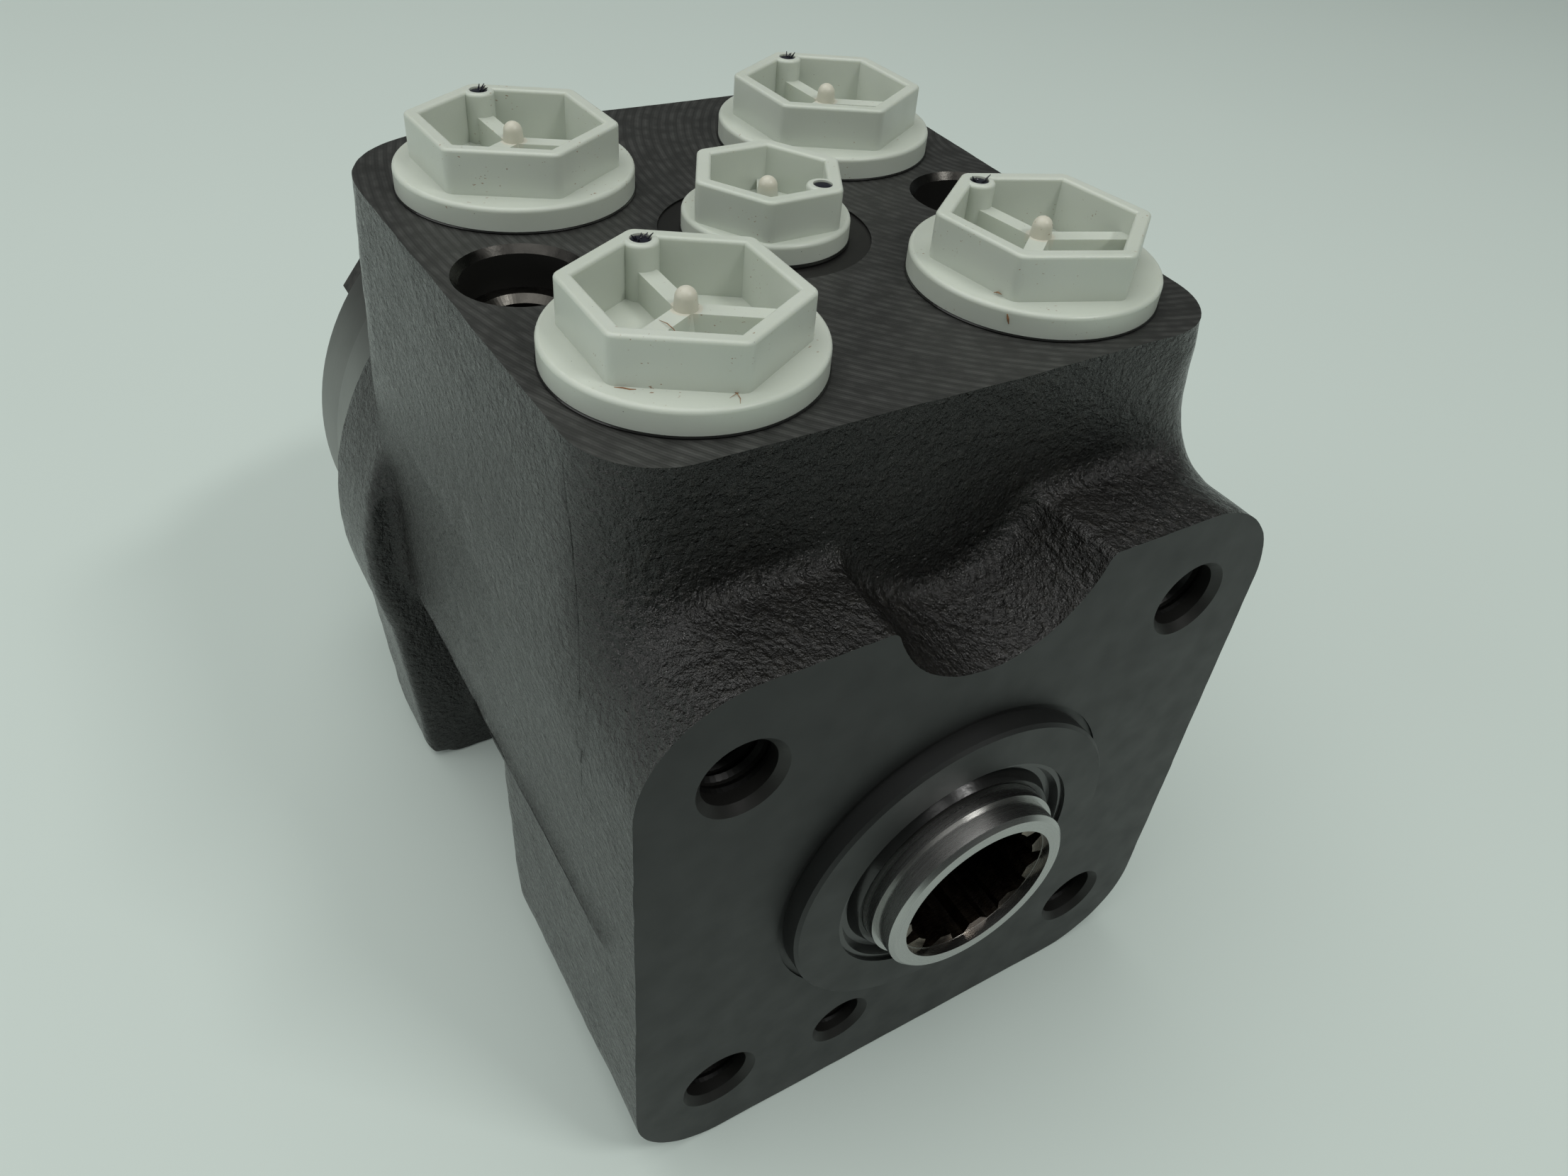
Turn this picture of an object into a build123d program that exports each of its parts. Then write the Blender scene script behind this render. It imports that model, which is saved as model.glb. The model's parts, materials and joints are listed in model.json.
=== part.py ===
from build123d import *
import os
from math import atan2, cos, degrees, hypot, pi, radians, sin, sqrt

# Hydrostatic steering unit, standing with its port face up.
# Origin: centre of the machined front face, on the shaft axis.
# +X right seen from the front, +Y into the unit, +Z up to the ports. Millimetres.

os.makedirs("parts", exist_ok=True)

# Running and seating clearances
shaft_clearance = 0.02
loose_clearance = 0.15
seat_gap = 0.05
seal_clearance = 0.04

# How far a cut runs on past the face it opens through, and what counts as the same place
run_out = 1.0
same_place = 0.05

# Front flange and spigot
flange_half_width = 40.8
flange_top = 41.6
base_drop = 42.5
flange_thickness = 12.0
flange_corner_radius = 13.0
lower_front_length = 40.0
spigot_radius = 22.225
spigot_height = 2.5
spigot_undercut_width = 0.9
spigot_undercut_depth = 0.3
spigot_edge_chamfer = 0.4
scallop_radius = 13.8
scallop_floor = 31.3
scallop_slope = 9.5
scallop_edge_fillet = 1.5
ear_root_fillet = 2.5

# Fixing threads, drawn at their tapping drill
mount_circle_diameter = 82.5
m10_drill_radius = 4.25
m10_depth = 17.0
m10_mouth_chamfer = 0.9
jig_hole_x = -11.0
jig_hole_z = -30.2
jig_hole_radius = 3.4
jig_hole_depth = 12.0

# Port block
port_height = 57.0
block_front_half_width = 37.2
block_rear_half_width = 39.6
block_length = 80.0
block_front_corner = 9.5
block_rear_corner = 14.0
block_root_corner = 0.3
parting_height = -1.0
parting_bead = 0.3
parting_step = 1.0
belly_top = 14.0
belly_half_width = 33.8
belly_height = -24.0
belly_drop = 40.0
belly_corner = 6.0

# Ports
port_pitch_x = 43.1
port_pitch_y = 44.06
port_centre_y = 50.5
port_bore_radius = 9.5
port_bore_depth = 18.0
port_recess_radius = 12.6
port_passage_radius = 3.2
port_passage_offset = 3.6
passage_floor = 7.6
ls_bore_radius = 5.9
ls_bore_depth = 13.0
ls_recess_radius = 7.7
ls_spotface_radius = 12.4
ls_spotface_depth = 0.25
face_bolt_x = 29.5
face_bolt_recess_radius = 6.5
face_bolt_recess_depth = 10.5
face_bolt_chamfer = 0.8
face_bolt_depth = 16.0

# Rear flange and gear set
rear_face = 93.5
rear_flange_thickness = 15.5
rear_flange_radius = 46.1
lug_half_width = 42.2
lug_height = -13.0
lug_corner = 3.0
gear_outer_radius = 42.4
plate_thickness = 3.5
gear_width = 10.4
cover_thickness = 10.1
cover_chamfer = 0.8
screw_count = 7
screw_circle_radius = 34.0
screw_radius = 4.0
screw_engagement = 13.5
screw_head_flats = 13.0
screw_head_height = 4.6
washer_radius = 7.3
washer_thickness = 1.5

# Gerotor: seven fixed lobes, a star with one tooth fewer
lobe_count = 7
lobe_circle = 28.0
lobe_radius = 7.0
eccentricity = 2.6
star_clearance = 0.06
star_points = 24
star_side_clearance = 0.04
pocket_clearance = 0.3
chamber_port_radius = 2.5
chamber_port_circle = 24.0
chamber_gallery_length = 12.0
plate_bore_radius = 11.8

# Spool, sleeve and what drives them
bore_radius = 19.0
spool_radius = 14.0
bore_start = 10.0
nose_reach = 7.1
nose_radius = 12.4
nose_collar_length = 3.0
nose_chamfer = 0.5
journal_radius = 13.0
spool_end = 88.0
spool_bore_radius = 10.8
spool_bore_start = 42.0
deflection_limit = 8.0
seal_pocket_radius = 16.4
seal_pocket_depth = 4.7
seal_land_radius = 14.8
kin_ring_radius = 17.2
kin_ring_start = 4.2
kin_ring_length = 4.8
race_inner_radius = 14.1
race_outer_radius = 18.7
race_thickness = 0.9
needle_radius = 0.95
needle_length = 3.2
needle_count = 18
cage_edge_gap = 0.1
cage_half_thickness = 0.57
pin_station = 52.0
pin_radius = 4.0
pin_end_gap = 0.4
pin_end_chamfer = 0.5
spring_station = 29.0
spring_width = 6.0
spring_leaf = 0.45
spring_bulge = 1.3
spring_ring_depth = 0.8
spring_ring_margin = 1.0
spring_ring_slit = 2.0
groove_depth = 2.2
groove_width = 4.0
metering_count = 6
metering_turn = 30
metering_hole_radius = 1.3
metering_slot_depth = 0.6
metering_slot_width = 2.4
metering_slot_length = 6.4

# Lips of the two front seals
dust_seal_inset = 0.4
dust_lip_reach = 0.3
dust_lip_width = 0.7
dust_furrow_depth = 1.1
seal_wall = 1.2

# Splines: tip and root radii of the teeth and their half thickness
spline_teeth = 12
tooth_embed = 0.8
socket_minor_radius = 8.73
socket_major_radius = 10.15
socket_lead_radius = 10.3
socket_lead_depth = 1.2
socket_depth = 24.0
tooth_root_half = 1.75
tooth_tip_half = 0.85
cardan_minor_radius = 7.2
cardan_major_radius = 8.7
cardan_head_length = 5.4
cardan_tooth_root_half = 1.49
cardan_spline_clearance = 0.45
cardan_neck_radius = 6.2
fork_radius = 9.4
fork_reach = 8.0
fork_length = 17.0
fork_taper = 3.0
fork_slot_relief = 1.5
spacer_thickness = 1.4

# Shipping plugs
plug_radius = 14.0
plug_flange = 2.6
plug_lift = 0.3
plug_height = 7.6
plug_hex_radius = 12.35
plug_hex_corner = 1.3
plug_wall = 1.9
plug_floor = 1.7
plug_stub_length = 12.0
plug_stub_wall = 1.5
plug_edge_fillet = 0.5
plug_rim_fillet = 0.4
plug_post_radius = 1.85
plug_post_inset = 2.6
plug_post_hole_radius = 1.1
plug_post_hole_depth = 1.5
plug_nub_radius = 1.5
plug_nub_tip = 1.1
plug_nub_height = 5.4
plug_rib_thickness = 2.0
plug_rib_height = 3.2
plug_turns = {"t": 0.0, "p": 9.0, "l": 3.0, "r": 2.0}
ls_plug_radius = 9.7
ls_plug_flange = 2.3
ls_plug_height = 6.9
ls_plug_hex_radius = 9.35
ls_plug_nub_height = 4.4
ls_plug_rib_height = 1.2
ls_plug_turn = 211.5

# Seals
o_ring_section = 0.85
o_ring_groove_width = 2.1
face_o_ring_radius = 28.4
plug_o_ring_radius = 11.45
ls_o_ring_radius = 6.7

# Valves
check_ball_radius = 4.0
check_chamber_radius = 4.6
check_chamber_depth = 10.5
check_travel = 1.5
check_seat_reach = 2.8
check_seat_height = 5.0
check_seat_bore = 3.0
relief_bore_radius = 4.2
relief_bore_depth = 12.2
relief_orifice_radius = 1.0
relief_ball_radius = 1.5
relief_guide_height = 1.5
relief_spring_turns = 3
relief_spring_wire = 0.4
relief_spring_radius = 2.3
relief_spring_length = 4.5
relief_screw_height = 3.0
relief_socket_flats = 3.0
manual_ball_radius = 3.0
manual_ball_travel = 1.5

# Places that follow from the sizes above
mount_half_pitch = mount_circle_diameter / 2 / sqrt(2)
block_root_half_width = flange_half_width
block_root_height = flange_top - flange_corner_radius
block_front = flange_thickness
block_rear = block_front + block_length
rear_flange_front = rear_face - rear_flange_thickness
lug_shoulder = sqrt(rear_flange_radius**2 - lug_height**2)
plate_rear = rear_face + plate_thickness
gear_rear = plate_rear + gear_width
cover_rear = gear_rear + cover_thickness
star_station = plate_rear + gear_width / 2
star_tip = lobe_circle - lobe_radius + eccentricity
pocket_radius = star_tip + eccentricity + pocket_clearance
sleeve_radius = bore_radius - shaft_clearance
sleeve_bore = spool_radius + shaft_clearance
outer_race_start = bore_start + seat_gap
needle_station = outer_race_start + race_thickness + needle_radius + seat_gap
inner_race_start = needle_station + needle_radius + seat_gap
sleeve_start = inner_race_start + race_thickness + seat_gap
sleeve_end = rear_face - loose_clearance
star_height = -eccentricity
star_turn = 90 - 180 / (lobe_count - 1)
cardan_tilt = degrees(atan2(star_height, star_station - pin_station))
cardan_length = hypot(eccentricity, star_station - pin_station)
screw_angles = [90 + index * 360 / screw_count for index in range(screw_count)]
chamber_angles = [angle + 180 / lobe_count for angle in screw_angles]
port_places = {
    "t": (-port_pitch_x / 2, port_centre_y - port_pitch_y / 2),
    "p": (port_pitch_x / 2, port_centre_y - port_pitch_y / 2),
    "l": (-port_pitch_x / 2, port_centre_y + port_pitch_y / 2),
    "r": (port_pitch_x / 2, port_centre_y + port_pitch_y / 2),
}
passage_places = [(x, y + port_passage_offset * (1 if x > 0 else -1)) for x, y in port_places.values()]
groove_stations = [port_centre_y] + [place[1] for place in passage_places]
port_floor = port_height - port_bore_depth
check_floor = port_floor - check_chamber_depth
relief_floor = port_height - ls_bore_depth - relief_bore_depth
lost_motion = spool_radius * sin(radians(deflection_limit)) + loose_clearance
dust_seal_front = dust_seal_inset - spigot_height
plug_base = port_height + plug_lift
plug_ring_height = plug_base - o_ring_section - seat_gap
port_recess_depth = port_height - plug_ring_height + o_ring_section + seat_gap
spring_slot_half = spring_bulge + 3 * spring_leaf
spring_ring_half = spring_width / 2 + spring_ring_margin


def front_plane(station):
    """Plane across the shaft axis: sketch x is +X and sketch y is +Z."""
    return Plane(origin=(0, station, 0), x_dir=(1, 0, 0), z_dir=(0, -1, 0))


def turned(inner, outer, start, end, mode=Mode.ADD):
    """A ring about the shaft axis between two stations."""
    with BuildSketch(Plane.XY) as profile:
        with Locations(((inner + outer) / 2, (start + end) / 2)):
            Rectangle(outer - inner, end - start)
    revolve(profile.sketch, axis=Axis.Y, mode=mode)


def across(sketch, station, length, mode=Mode.ADD):
    """A front view outline carried from its station towards the rear."""
    extrude(front_plane(station) * sketch, amount=-length, mode=mode)


def drilled(x, y, top, bottom, radius, mode=Mode.SUBTRACT):
    """A hole straight down from one height to another."""
    with Locations((x, y, (top + bottom) / 2)):
        Cylinder(radius, top - bottom, mode=mode)


def bored(x, z, start, end, radius, mode=Mode.SUBTRACT):
    """A hole along the shaft direction between two stations."""
    with Locations((x, (start + end) / 2, z)):
        Cylinder(radius, end - start, rotation=(90, 0, 0), mode=mode)


def on_circle(radius, angle):
    """Front view place at an angle from +X towards +Z."""
    return radius * cos(radians(angle)), radius * sin(radians(angle))


def tooth(inner, outer, root_half, tip_half):
    """One straight sided spline tooth, pointing along sketch +X."""
    return Polygon(
        (inner, -root_half), (outer, -tip_half), (outer, tip_half), (inner, root_half),
        align=None, mode=Mode.PRIVATE,
    )


def spline_outline(minor, major, root_half, tip_half):
    """A toothed disc: the core circle and its ring of teeth."""
    with BuildSketch() as outline:
        Circle(minor)
        with PolarLocations(0, spline_teeth):
            add(tooth(minor - tooth_embed, major, root_half, tip_half))
    return outline.sketch


def star_outline():
    """Curve that stays one lobe radius inside the path of the seven lobe centres."""
    reach = lobe_radius + star_clearance
    points = []
    steps = star_points * (lobe_count - 1)
    for step in range(steps):
        turn = 2 * pi * step / steps
        x = lobe_circle * cos(turn) - eccentricity * cos(lobe_count * turn)
        z = lobe_circle * sin(turn) - eccentricity * sin(lobe_count * turn)
        run = -lobe_circle * sin(turn) + lobe_count * eccentricity * sin(lobe_count * turn)
        rise = lobe_circle * cos(turn) - lobe_count * eccentricity * cos(lobe_count * turn)
        speed = hypot(run, rise)
        points.append((x - reach * rise / speed, z + reach * run / speed))
    with BuildSketch() as outline:
        with BuildLine():
            Spline(*points, periodic=True)
        make_face()
    return outline.sketch


def o_ring(radius, station):
    """A round ring in a face across the shaft."""
    with BuildSketch(Plane.XY) as section:
        with Locations((radius, station)):
            Circle(o_ring_section)
    revolve(section.sketch, axis=Axis.Y)


# Outlines seen from the front

with BuildSketch() as flange_outline:
    with Locations((0, (flange_top - base_drop) / 2)):
        RectangleRounded(2 * flange_half_width, flange_top + base_drop, flange_corner_radius)

with BuildSketch() as lower_front_outline:
    add(flange_outline.sketch)
    with Locations((0, belly_top + flange_top)):
        Rectangle(4 * flange_half_width, 2 * flange_top, mode=Mode.SUBTRACT)

with BuildSketch() as belly_outline:
    with BuildLine() as belly_line:
        Line((0, belly_top), (block_root_half_width, belly_top))
        Line((block_root_half_width, belly_top), (block_root_half_width, parting_height + parting_step))
        Line((block_root_half_width, parting_height + parting_step),
             (block_root_half_width + parting_bead, parting_height))
        Line((block_root_half_width + parting_bead, parting_height),
             (block_root_half_width - parting_bead, parting_height - parting_step))
        Spline((block_root_half_width - parting_bead, parting_height - parting_step),
               (belly_half_width, belly_height), tangents=[(-0.25, -1), (0, -1)])
        Line((belly_half_width, belly_height), (belly_half_width, belly_corner - belly_drop))
        Line((belly_half_width, belly_corner - belly_drop),
             (belly_half_width - belly_corner, -belly_drop))
        Line((belly_half_width - belly_corner, -belly_drop), (0, -belly_drop))
        mirror(belly_line.line, about=Plane.YZ)
    make_face()

with BuildSketch() as lug_outline:
    Polygon(
        (-lug_half_width, -base_drop), (lug_half_width, -base_drop),
        (lug_shoulder, lug_height), (-lug_shoulder, lug_height), align=None,
    )
    fillet(lug_outline.vertices().group_by(Axis.Y)[0], lug_corner)

with BuildSketch() as rear_outline:
    Circle(rear_flange_radius)
    with Locations((0, -base_drop - rear_flange_radius)):
        Rectangle(4 * rear_flange_radius, 2 * rear_flange_radius, mode=Mode.SUBTRACT)
    add(lug_outline.sketch)

# Plan outlines of the port block, top and root

with BuildSketch(Plane.XY.offset(port_height)) as block_top:
    with BuildLine():
        Polyline(
            (-block_front_half_width, block_front), (block_front_half_width, block_front),
            (block_rear_half_width, block_rear), (-block_rear_half_width, block_rear), close=True,
        )
    make_face()
    fillet(block_top.vertices().group_by(Axis.Y)[0], block_front_corner)
    fillet(block_top.vertices().group_by(Axis.Y)[-1], block_rear_corner)

with BuildSketch(Plane.XY.offset(block_root_height)) as block_root:
    with Locations((0, (block_front + block_rear) / 2)):
        Rectangle(2 * block_root_half_width, block_length)
    fillet(block_root.vertices().group_by(Axis.Y)[0], block_root_corner)
    fillet(block_root.vertices().group_by(Axis.Y)[-1], block_rear_corner)


# Cast housing with its bore, ports, threads and galleries

with BuildPart() as housing:
    across(flange_outline.sketch, 0, flange_thickness)
    with Locations(Location((0, 0, scallop_floor + scallop_radius), (90 + scallop_slope, 0, 0))):
        Cylinder(scallop_radius, 4 * flange_thickness, mode=Mode.SUBTRACT)
    scallop_edges = [edge for edge in housing.edges().filter_by(GeomType.ELLIPSE)
                     if abs(edge.center().Z - flange_top) < same_place]
    fillet(scallop_edges, scallop_edge_fillet)
    across(lower_front_outline.sketch, 0, lower_front_length)
    extrude(block_root.sketch, amount=belly_top - block_root_height)
    loft([block_root.sketch.face(), block_top.sketch.face()])
    ear_roots = [edge for edge in housing.edges() if abs(edge.center().Y - block_front) < same_place
                 and block_root_height < edge.center().Z < flange_top + same_place
                 and abs(edge.center().X) < flange_half_width - flange_corner_radius - same_place]
    fillet(ear_roots, ear_root_fillet)
    across(belly_outline.sketch, flange_thickness / 2, block_rear - flange_thickness / 2)
    across(rear_outline.sketch, rear_flange_front, rear_flange_thickness)
    turned(0, spigot_radius, -spigot_height, flange_thickness / 2)
    chamfer(housing.edges().filter_by(GeomType.CIRCLE).group_by(Axis.Y)[0], spigot_edge_chamfer)
    turned(spigot_radius, spigot_radius + spigot_undercut_width, 0, spigot_undercut_depth, Mode.SUBTRACT)

    # Main bore, seal pockets and the ring grooves that the ports reach
    turned(0, seal_land_radius, -spigot_height - run_out, bore_start + run_out, Mode.SUBTRACT)
    turned(0, seal_pocket_radius, -spigot_height - run_out, seal_pocket_depth - spigot_height, Mode.SUBTRACT)
    turned(0, kin_ring_radius, kin_ring_start, kin_ring_start + kin_ring_length, Mode.SUBTRACT)
    turned(0, bore_radius, bore_start, rear_face + run_out, Mode.SUBTRACT)
    for station in groove_stations:
        turned(0, bore_radius + groove_depth, station - groove_width / 2,
               station + groove_width / 2, Mode.SUBTRACT)

    # Ports with the recess for the plug's ring, and the passage down to the groove
    for place in port_places.values():
        drilled(*place, port_height + run_out, port_height - port_recess_depth, port_recess_radius)
        drilled(*place, port_height + run_out, port_floor, port_bore_radius)
    for place in passage_places:
        drilled(*place, port_floor + run_out, passage_floor, port_passage_radius)
    drilled(*port_places["p"], port_floor + run_out, check_floor, check_chamber_radius)
    drilled(0, port_centre_y, port_height + run_out, port_height - ls_spotface_depth, ls_spotface_radius)
    drilled(0, port_centre_y, port_height + run_out, port_height - port_recess_depth, ls_recess_radius)
    drilled(0, port_centre_y, port_height + run_out, port_height - ls_bore_depth, ls_bore_radius)
    drilled(0, port_centre_y, port_height, relief_floor, relief_bore_radius)
    drilled(0, port_centre_y, port_height, bore_radius, relief_orifice_radius)

    # Threads in the port face, the front face and the rear face
    with Locations((-face_bolt_x, port_centre_y, port_height), (face_bolt_x, port_centre_y, port_height)):
        CounterBoreHole(m10_drill_radius, face_bolt_recess_radius, face_bolt_recess_depth,
                        face_bolt_recess_depth + face_bolt_depth)
    for x in (-mount_half_pitch, mount_half_pitch):
        for z in (-mount_half_pitch, mount_half_pitch):
            bored(x, z, -run_out, m10_depth, m10_drill_radius)
    bored(jig_hole_x, jig_hole_z, -run_out, jig_hole_depth, jig_hole_radius)
    circles = housing.edges().filter_by(GeomType.CIRCLE)
    front_mouths = [edge for edge in circles if abs(edge.arc_center.Y) < same_place
                    and edge.radius in (m10_drill_radius, jig_hole_radius)]
    chamfer(front_mouths, m10_mouth_chamfer)
    top_mouths = [edge for edge in circles if abs(edge.arc_center.Z - port_height) < same_place
                  and edge.radius == face_bolt_recess_radius]
    chamfer(top_mouths, face_bolt_chamfer)
    for angle in screw_angles:
        bored(*on_circle(screw_circle_radius, angle), rear_face - screw_engagement, rear_face + run_out,
              screw_radius + shaft_clearance)
    bored(*on_circle(screw_circle_radius, screw_angles[1]),
          rear_face - screw_engagement - 2 * manual_ball_radius - manual_ball_travel - seat_gap,
          rear_face, manual_ball_radius + loose_clearance)

    # Galleries to the seven chambers and the ring groove round them
    for angle in chamber_angles:
        x, z = on_circle(chamber_port_circle, angle)
        bored(x, z, rear_face - chamber_gallery_length, rear_face + run_out, chamber_port_radius)
        x, z = on_circle((bore_radius + chamber_port_circle) / 2, angle)
        with Locations(Location((x, rear_face - chamber_gallery_length, z), (0, -angle, 0))):
            Box(chamber_port_circle - bore_radius + chamber_port_radius, 2 * chamber_port_radius,
                chamber_port_radius, mode=Mode.SUBTRACT)
    turned(face_o_ring_radius - o_ring_groove_width / 2, face_o_ring_radius + o_ring_groove_width / 2,
           rear_face - 2 * o_ring_section - seat_gap, rear_face + run_out, Mode.SUBTRACT)
housing.part.label = "housing"
export_step(housing.part, "parts/housing.step")


# Seals in the front of the bore

with BuildPart() as dust_seal:
    with BuildSketch(Plane.XY):
        with BuildLine():
            Polyline(
                (journal_radius + seal_clearance, dust_seal_front),
                (journal_radius + dust_lip_width, dust_seal_front - dust_lip_reach),
                (journal_radius + 2 * dust_lip_width, dust_seal_front + dust_furrow_depth),
                (seal_pocket_radius - seal_wall, dust_seal_front + dust_furrow_depth),
                (seal_pocket_radius - dust_lip_width, dust_seal_front),
                (seal_pocket_radius, dust_seal_front),
                (seal_pocket_radius, seal_pocket_depth - spigot_height - seat_gap),
                (journal_radius + seal_wall, seal_pocket_depth - spigot_height - seat_gap),
                close=True,
            )
        make_face()
    revolve(axis=Axis.Y)
dust_seal.part.label = "dust_seal"
export_step(dust_seal.part, "parts/dust_seal.step")

with BuildPart() as shaft_seal:
    turned(journal_radius + seal_clearance, kin_ring_radius, kin_ring_start + seat_gap,
           kin_ring_start + kin_ring_length - seat_gap)
    turned(journal_radius + seal_wall, kin_ring_radius - seal_wall, kin_ring_start + kin_ring_length / 2,
           kin_ring_start + kin_ring_length, Mode.SUBTRACT)
shaft_seal.part.label = "shaft_seal"
export_step(shaft_seal.part, "parts/shaft_seal.step")


# Thrust bearing: two races, a cage and its needles

with BuildPart() as bearing_outer_race:
    turned(race_inner_radius, race_outer_radius, outer_race_start, outer_race_start + race_thickness)
bearing_outer_race.part.label = "bearing_outer_race"
export_step(bearing_outer_race.part, "parts/bearing_outer_race.step")

needle_middle = (race_inner_radius + race_outer_radius) / 2

with BuildPart() as bearing_needles:
    with Locations(Location((0, needle_station, 0), (90, 0, 0))):
        with PolarLocations(needle_middle, needle_count):
            Cylinder(needle_radius, needle_length, rotation=(0, 90, 0))
bearing_needles.part.label = "bearing_needles"
export_step(bearing_needles.part, "parts/bearing_needles.step")

with BuildPart() as bearing_cage:
    turned(race_inner_radius + cage_edge_gap, race_outer_radius - cage_edge_gap,
           needle_station - cage_half_thickness, needle_station + cage_half_thickness)
    with Locations(Location((0, needle_station, 0), (90, 0, 0))):
        with PolarLocations(needle_middle, needle_count):
            Box(needle_length + 2 * seat_gap, 2 * needle_radius + 2 * seat_gap, 4 * needle_radius,
                mode=Mode.SUBTRACT)
bearing_cage.part.label = "bearing_cage"
export_step(bearing_cage.part, "parts/bearing_cage.step")

with BuildPart() as bearing_inner_race:
    turned(race_inner_radius, race_outer_radius, inner_race_start, inner_race_start + race_thickness)
bearing_inner_race.part.label = "bearing_inner_race"
export_step(bearing_inner_race.part, "parts/bearing_inner_race.step")


# Spool: splined nose, journal, and the controlling land with its slots

socket_outline = spline_outline(socket_minor_radius, socket_major_radius, tooth_root_half, tooth_tip_half)

with BuildPart() as spool:
    turned(0, nose_radius, -nose_reach, -nose_reach + nose_collar_length)
    chamfer(spool.edges().group_by(Axis.Y)[0], nose_chamfer)
    turned(0, journal_radius, -nose_reach + nose_collar_length, sleeve_start + loose_clearance)
    turned(0, spool_radius, sleeve_start + loose_clearance, spool_end)
    turned(0, spool_bore_radius, spool_bore_start, spool_end + run_out, Mode.SUBTRACT)
    across(socket_outline, -nose_reach - run_out, socket_depth + run_out, Mode.SUBTRACT)
    turned(0, socket_lead_radius, -nose_reach - run_out, -nose_reach + socket_lead_depth, Mode.SUBTRACT)
    with Locations((0, pin_station, 0)):
        Cylinder(pin_radius + lost_motion, 4 * spool_radius, rotation=(0, 90, 0), mode=Mode.SUBTRACT)
    with Locations((0, spring_station, 0)):
        Box(4 * spool_radius, spring_width + 2 * loose_clearance, 2 * (spring_slot_half + lost_motion),
            mode=Mode.SUBTRACT)
    for station in groove_stations:
        with Locations(Location((0, station + groove_width, 0), (90, 0, 0))):
            with PolarLocations(spool_radius, metering_count, start_angle=metering_turn):
                Box(2 * metering_slot_depth, metering_slot_width, metering_slot_length,
                    mode=Mode.SUBTRACT)
spool.part.label = "spool"
export_step(spool.part, "parts/spool.step")

with BuildPart() as sleeve:
    turned(sleeve_bore, sleeve_radius, sleeve_start, sleeve_end)
    with Locations((0, pin_station, 0)):
        Cylinder(pin_radius + shaft_clearance, 4 * bore_radius, rotation=(0, 90, 0), mode=Mode.SUBTRACT)
    with Locations((0, spring_station, 0)):
        Box(4 * bore_radius, spring_width + 2 * loose_clearance, 2 * (spring_slot_half + loose_clearance),
            mode=Mode.SUBTRACT)
    turned(sleeve_radius - spring_ring_depth, bore_radius + run_out,
           spring_station - spring_ring_half, spring_station + spring_ring_half, Mode.SUBTRACT)
    for station in groove_stations:
        if abs(station - spring_station) > spring_width:
            with Locations(Location((0, station, 0), (90, 0, 0))):
                with PolarLocations((spool_radius + bore_radius) / 2, metering_count,
                                    start_angle=metering_turn):
                    Cylinder(metering_hole_radius, 2 * (bore_radius - spool_radius),
                             rotation=(0, 90, 0), mode=Mode.SUBTRACT)
sleeve.part.label = "sleeve"
export_step(sleeve.part, "parts/sleeve.step")

with BuildPart() as cross_pin:
    with Locations((0, pin_station, 0)):
        Cylinder(pin_radius, 2 * (sleeve_radius - pin_end_gap), rotation=(0, 90, 0))
    chamfer(cross_pin.edges().filter_by(GeomType.CIRCLE), pin_end_chamfer)
cross_pin.part.label = "cross_pin"
export_step(cross_pin.part, "parts/cross_pin.step")

leaf_half_length = sleeve_radius - spring_ring_depth - loose_clearance

with BuildPart() as centring_springs:
    for side in (-1, 1):
        for rank in (0, 1, 2):
            base = side * (spring_leaf / 2 + seat_gap / 2 + rank * (spring_leaf + seat_gap))
            rise = side * spring_bulge * min(rank, 1)
            with BuildSketch(Plane.XZ.offset(-spring_station)) as leaf:
                with BuildLine():
                    for skin in (-spring_leaf / 2, spring_leaf / 2):
                        if rank:
                            ThreePointArc((-leaf_half_length, base + skin), (0, base + rise + skin),
                                          (leaf_half_length, base + skin))
                        else:
                            Line((-leaf_half_length, base + skin), (leaf_half_length, base + skin))
                    for end in (-leaf_half_length, leaf_half_length):
                        Line((end, base - spring_leaf / 2), (end, base + spring_leaf / 2))
                make_face()
            extrude(amount=spring_width / 2, both=True)
centring_springs.part.label = "centring_springs"
export_step(centring_springs.part, "parts/centring_springs.step")

with BuildPart() as spring_ring:
    turned(sleeve_radius - spring_ring_depth + seat_gap, sleeve_radius - seat_gap / 2,
           spring_station - spring_ring_half + seat_gap, spring_station + spring_ring_half - seat_gap)
    with Locations((0, spring_station, bore_radius)):
        Box(spring_ring_slit, 3 * spring_width, 4 * spring_ring_depth, mode=Mode.SUBTRACT)
spring_ring.part.label = "spring_ring"
export_step(spring_ring.part, "parts/spring_ring.step")


# Cardan shaft, tilted from the cross pin to the centre of the star

cardan_plane = Plane(origin=(0, pin_station, 0), x_dir=(1, 0, 0), z_dir=(0, cos(radians(cardan_tilt)),
                                                                          sin(radians(cardan_tilt))))
cardan_spline = spline_outline(cardan_minor_radius, cardan_major_radius, cardan_tooth_root_half,
                               tooth_tip_half)

with BuildPart() as cardan_shaft:
    with BuildSketch(cardan_plane.offset(-fork_reach)):
        Circle(fork_radius)
    extrude(amount=fork_length, taper=fork_taper)
    with BuildSketch(cardan_plane.offset(fork_length - fork_reach - run_out)):
        Circle(cardan_neck_radius)
    extrude(amount=cardan_length - fork_length + fork_reach + run_out)
    extrude(cardan_plane.offset(cardan_length - cardan_head_length / 2) * cardan_spline,
            amount=cardan_head_length)
    with BuildSketch(cardan_plane.offset(-fork_reach)):
        Rectangle(4 * fork_radius, 2 * (pin_radius + loose_clearance))
    extrude(amount=fork_reach + pin_radius + fork_slot_relief, mode=Mode.SUBTRACT)
cardan_shaft.part.label = "cardan_shaft"
export_step(cardan_shaft.part, "parts/cardan_shaft.step")


# Gear set: distributor plate, rim with seven lobes, star, spacer and cover

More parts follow.
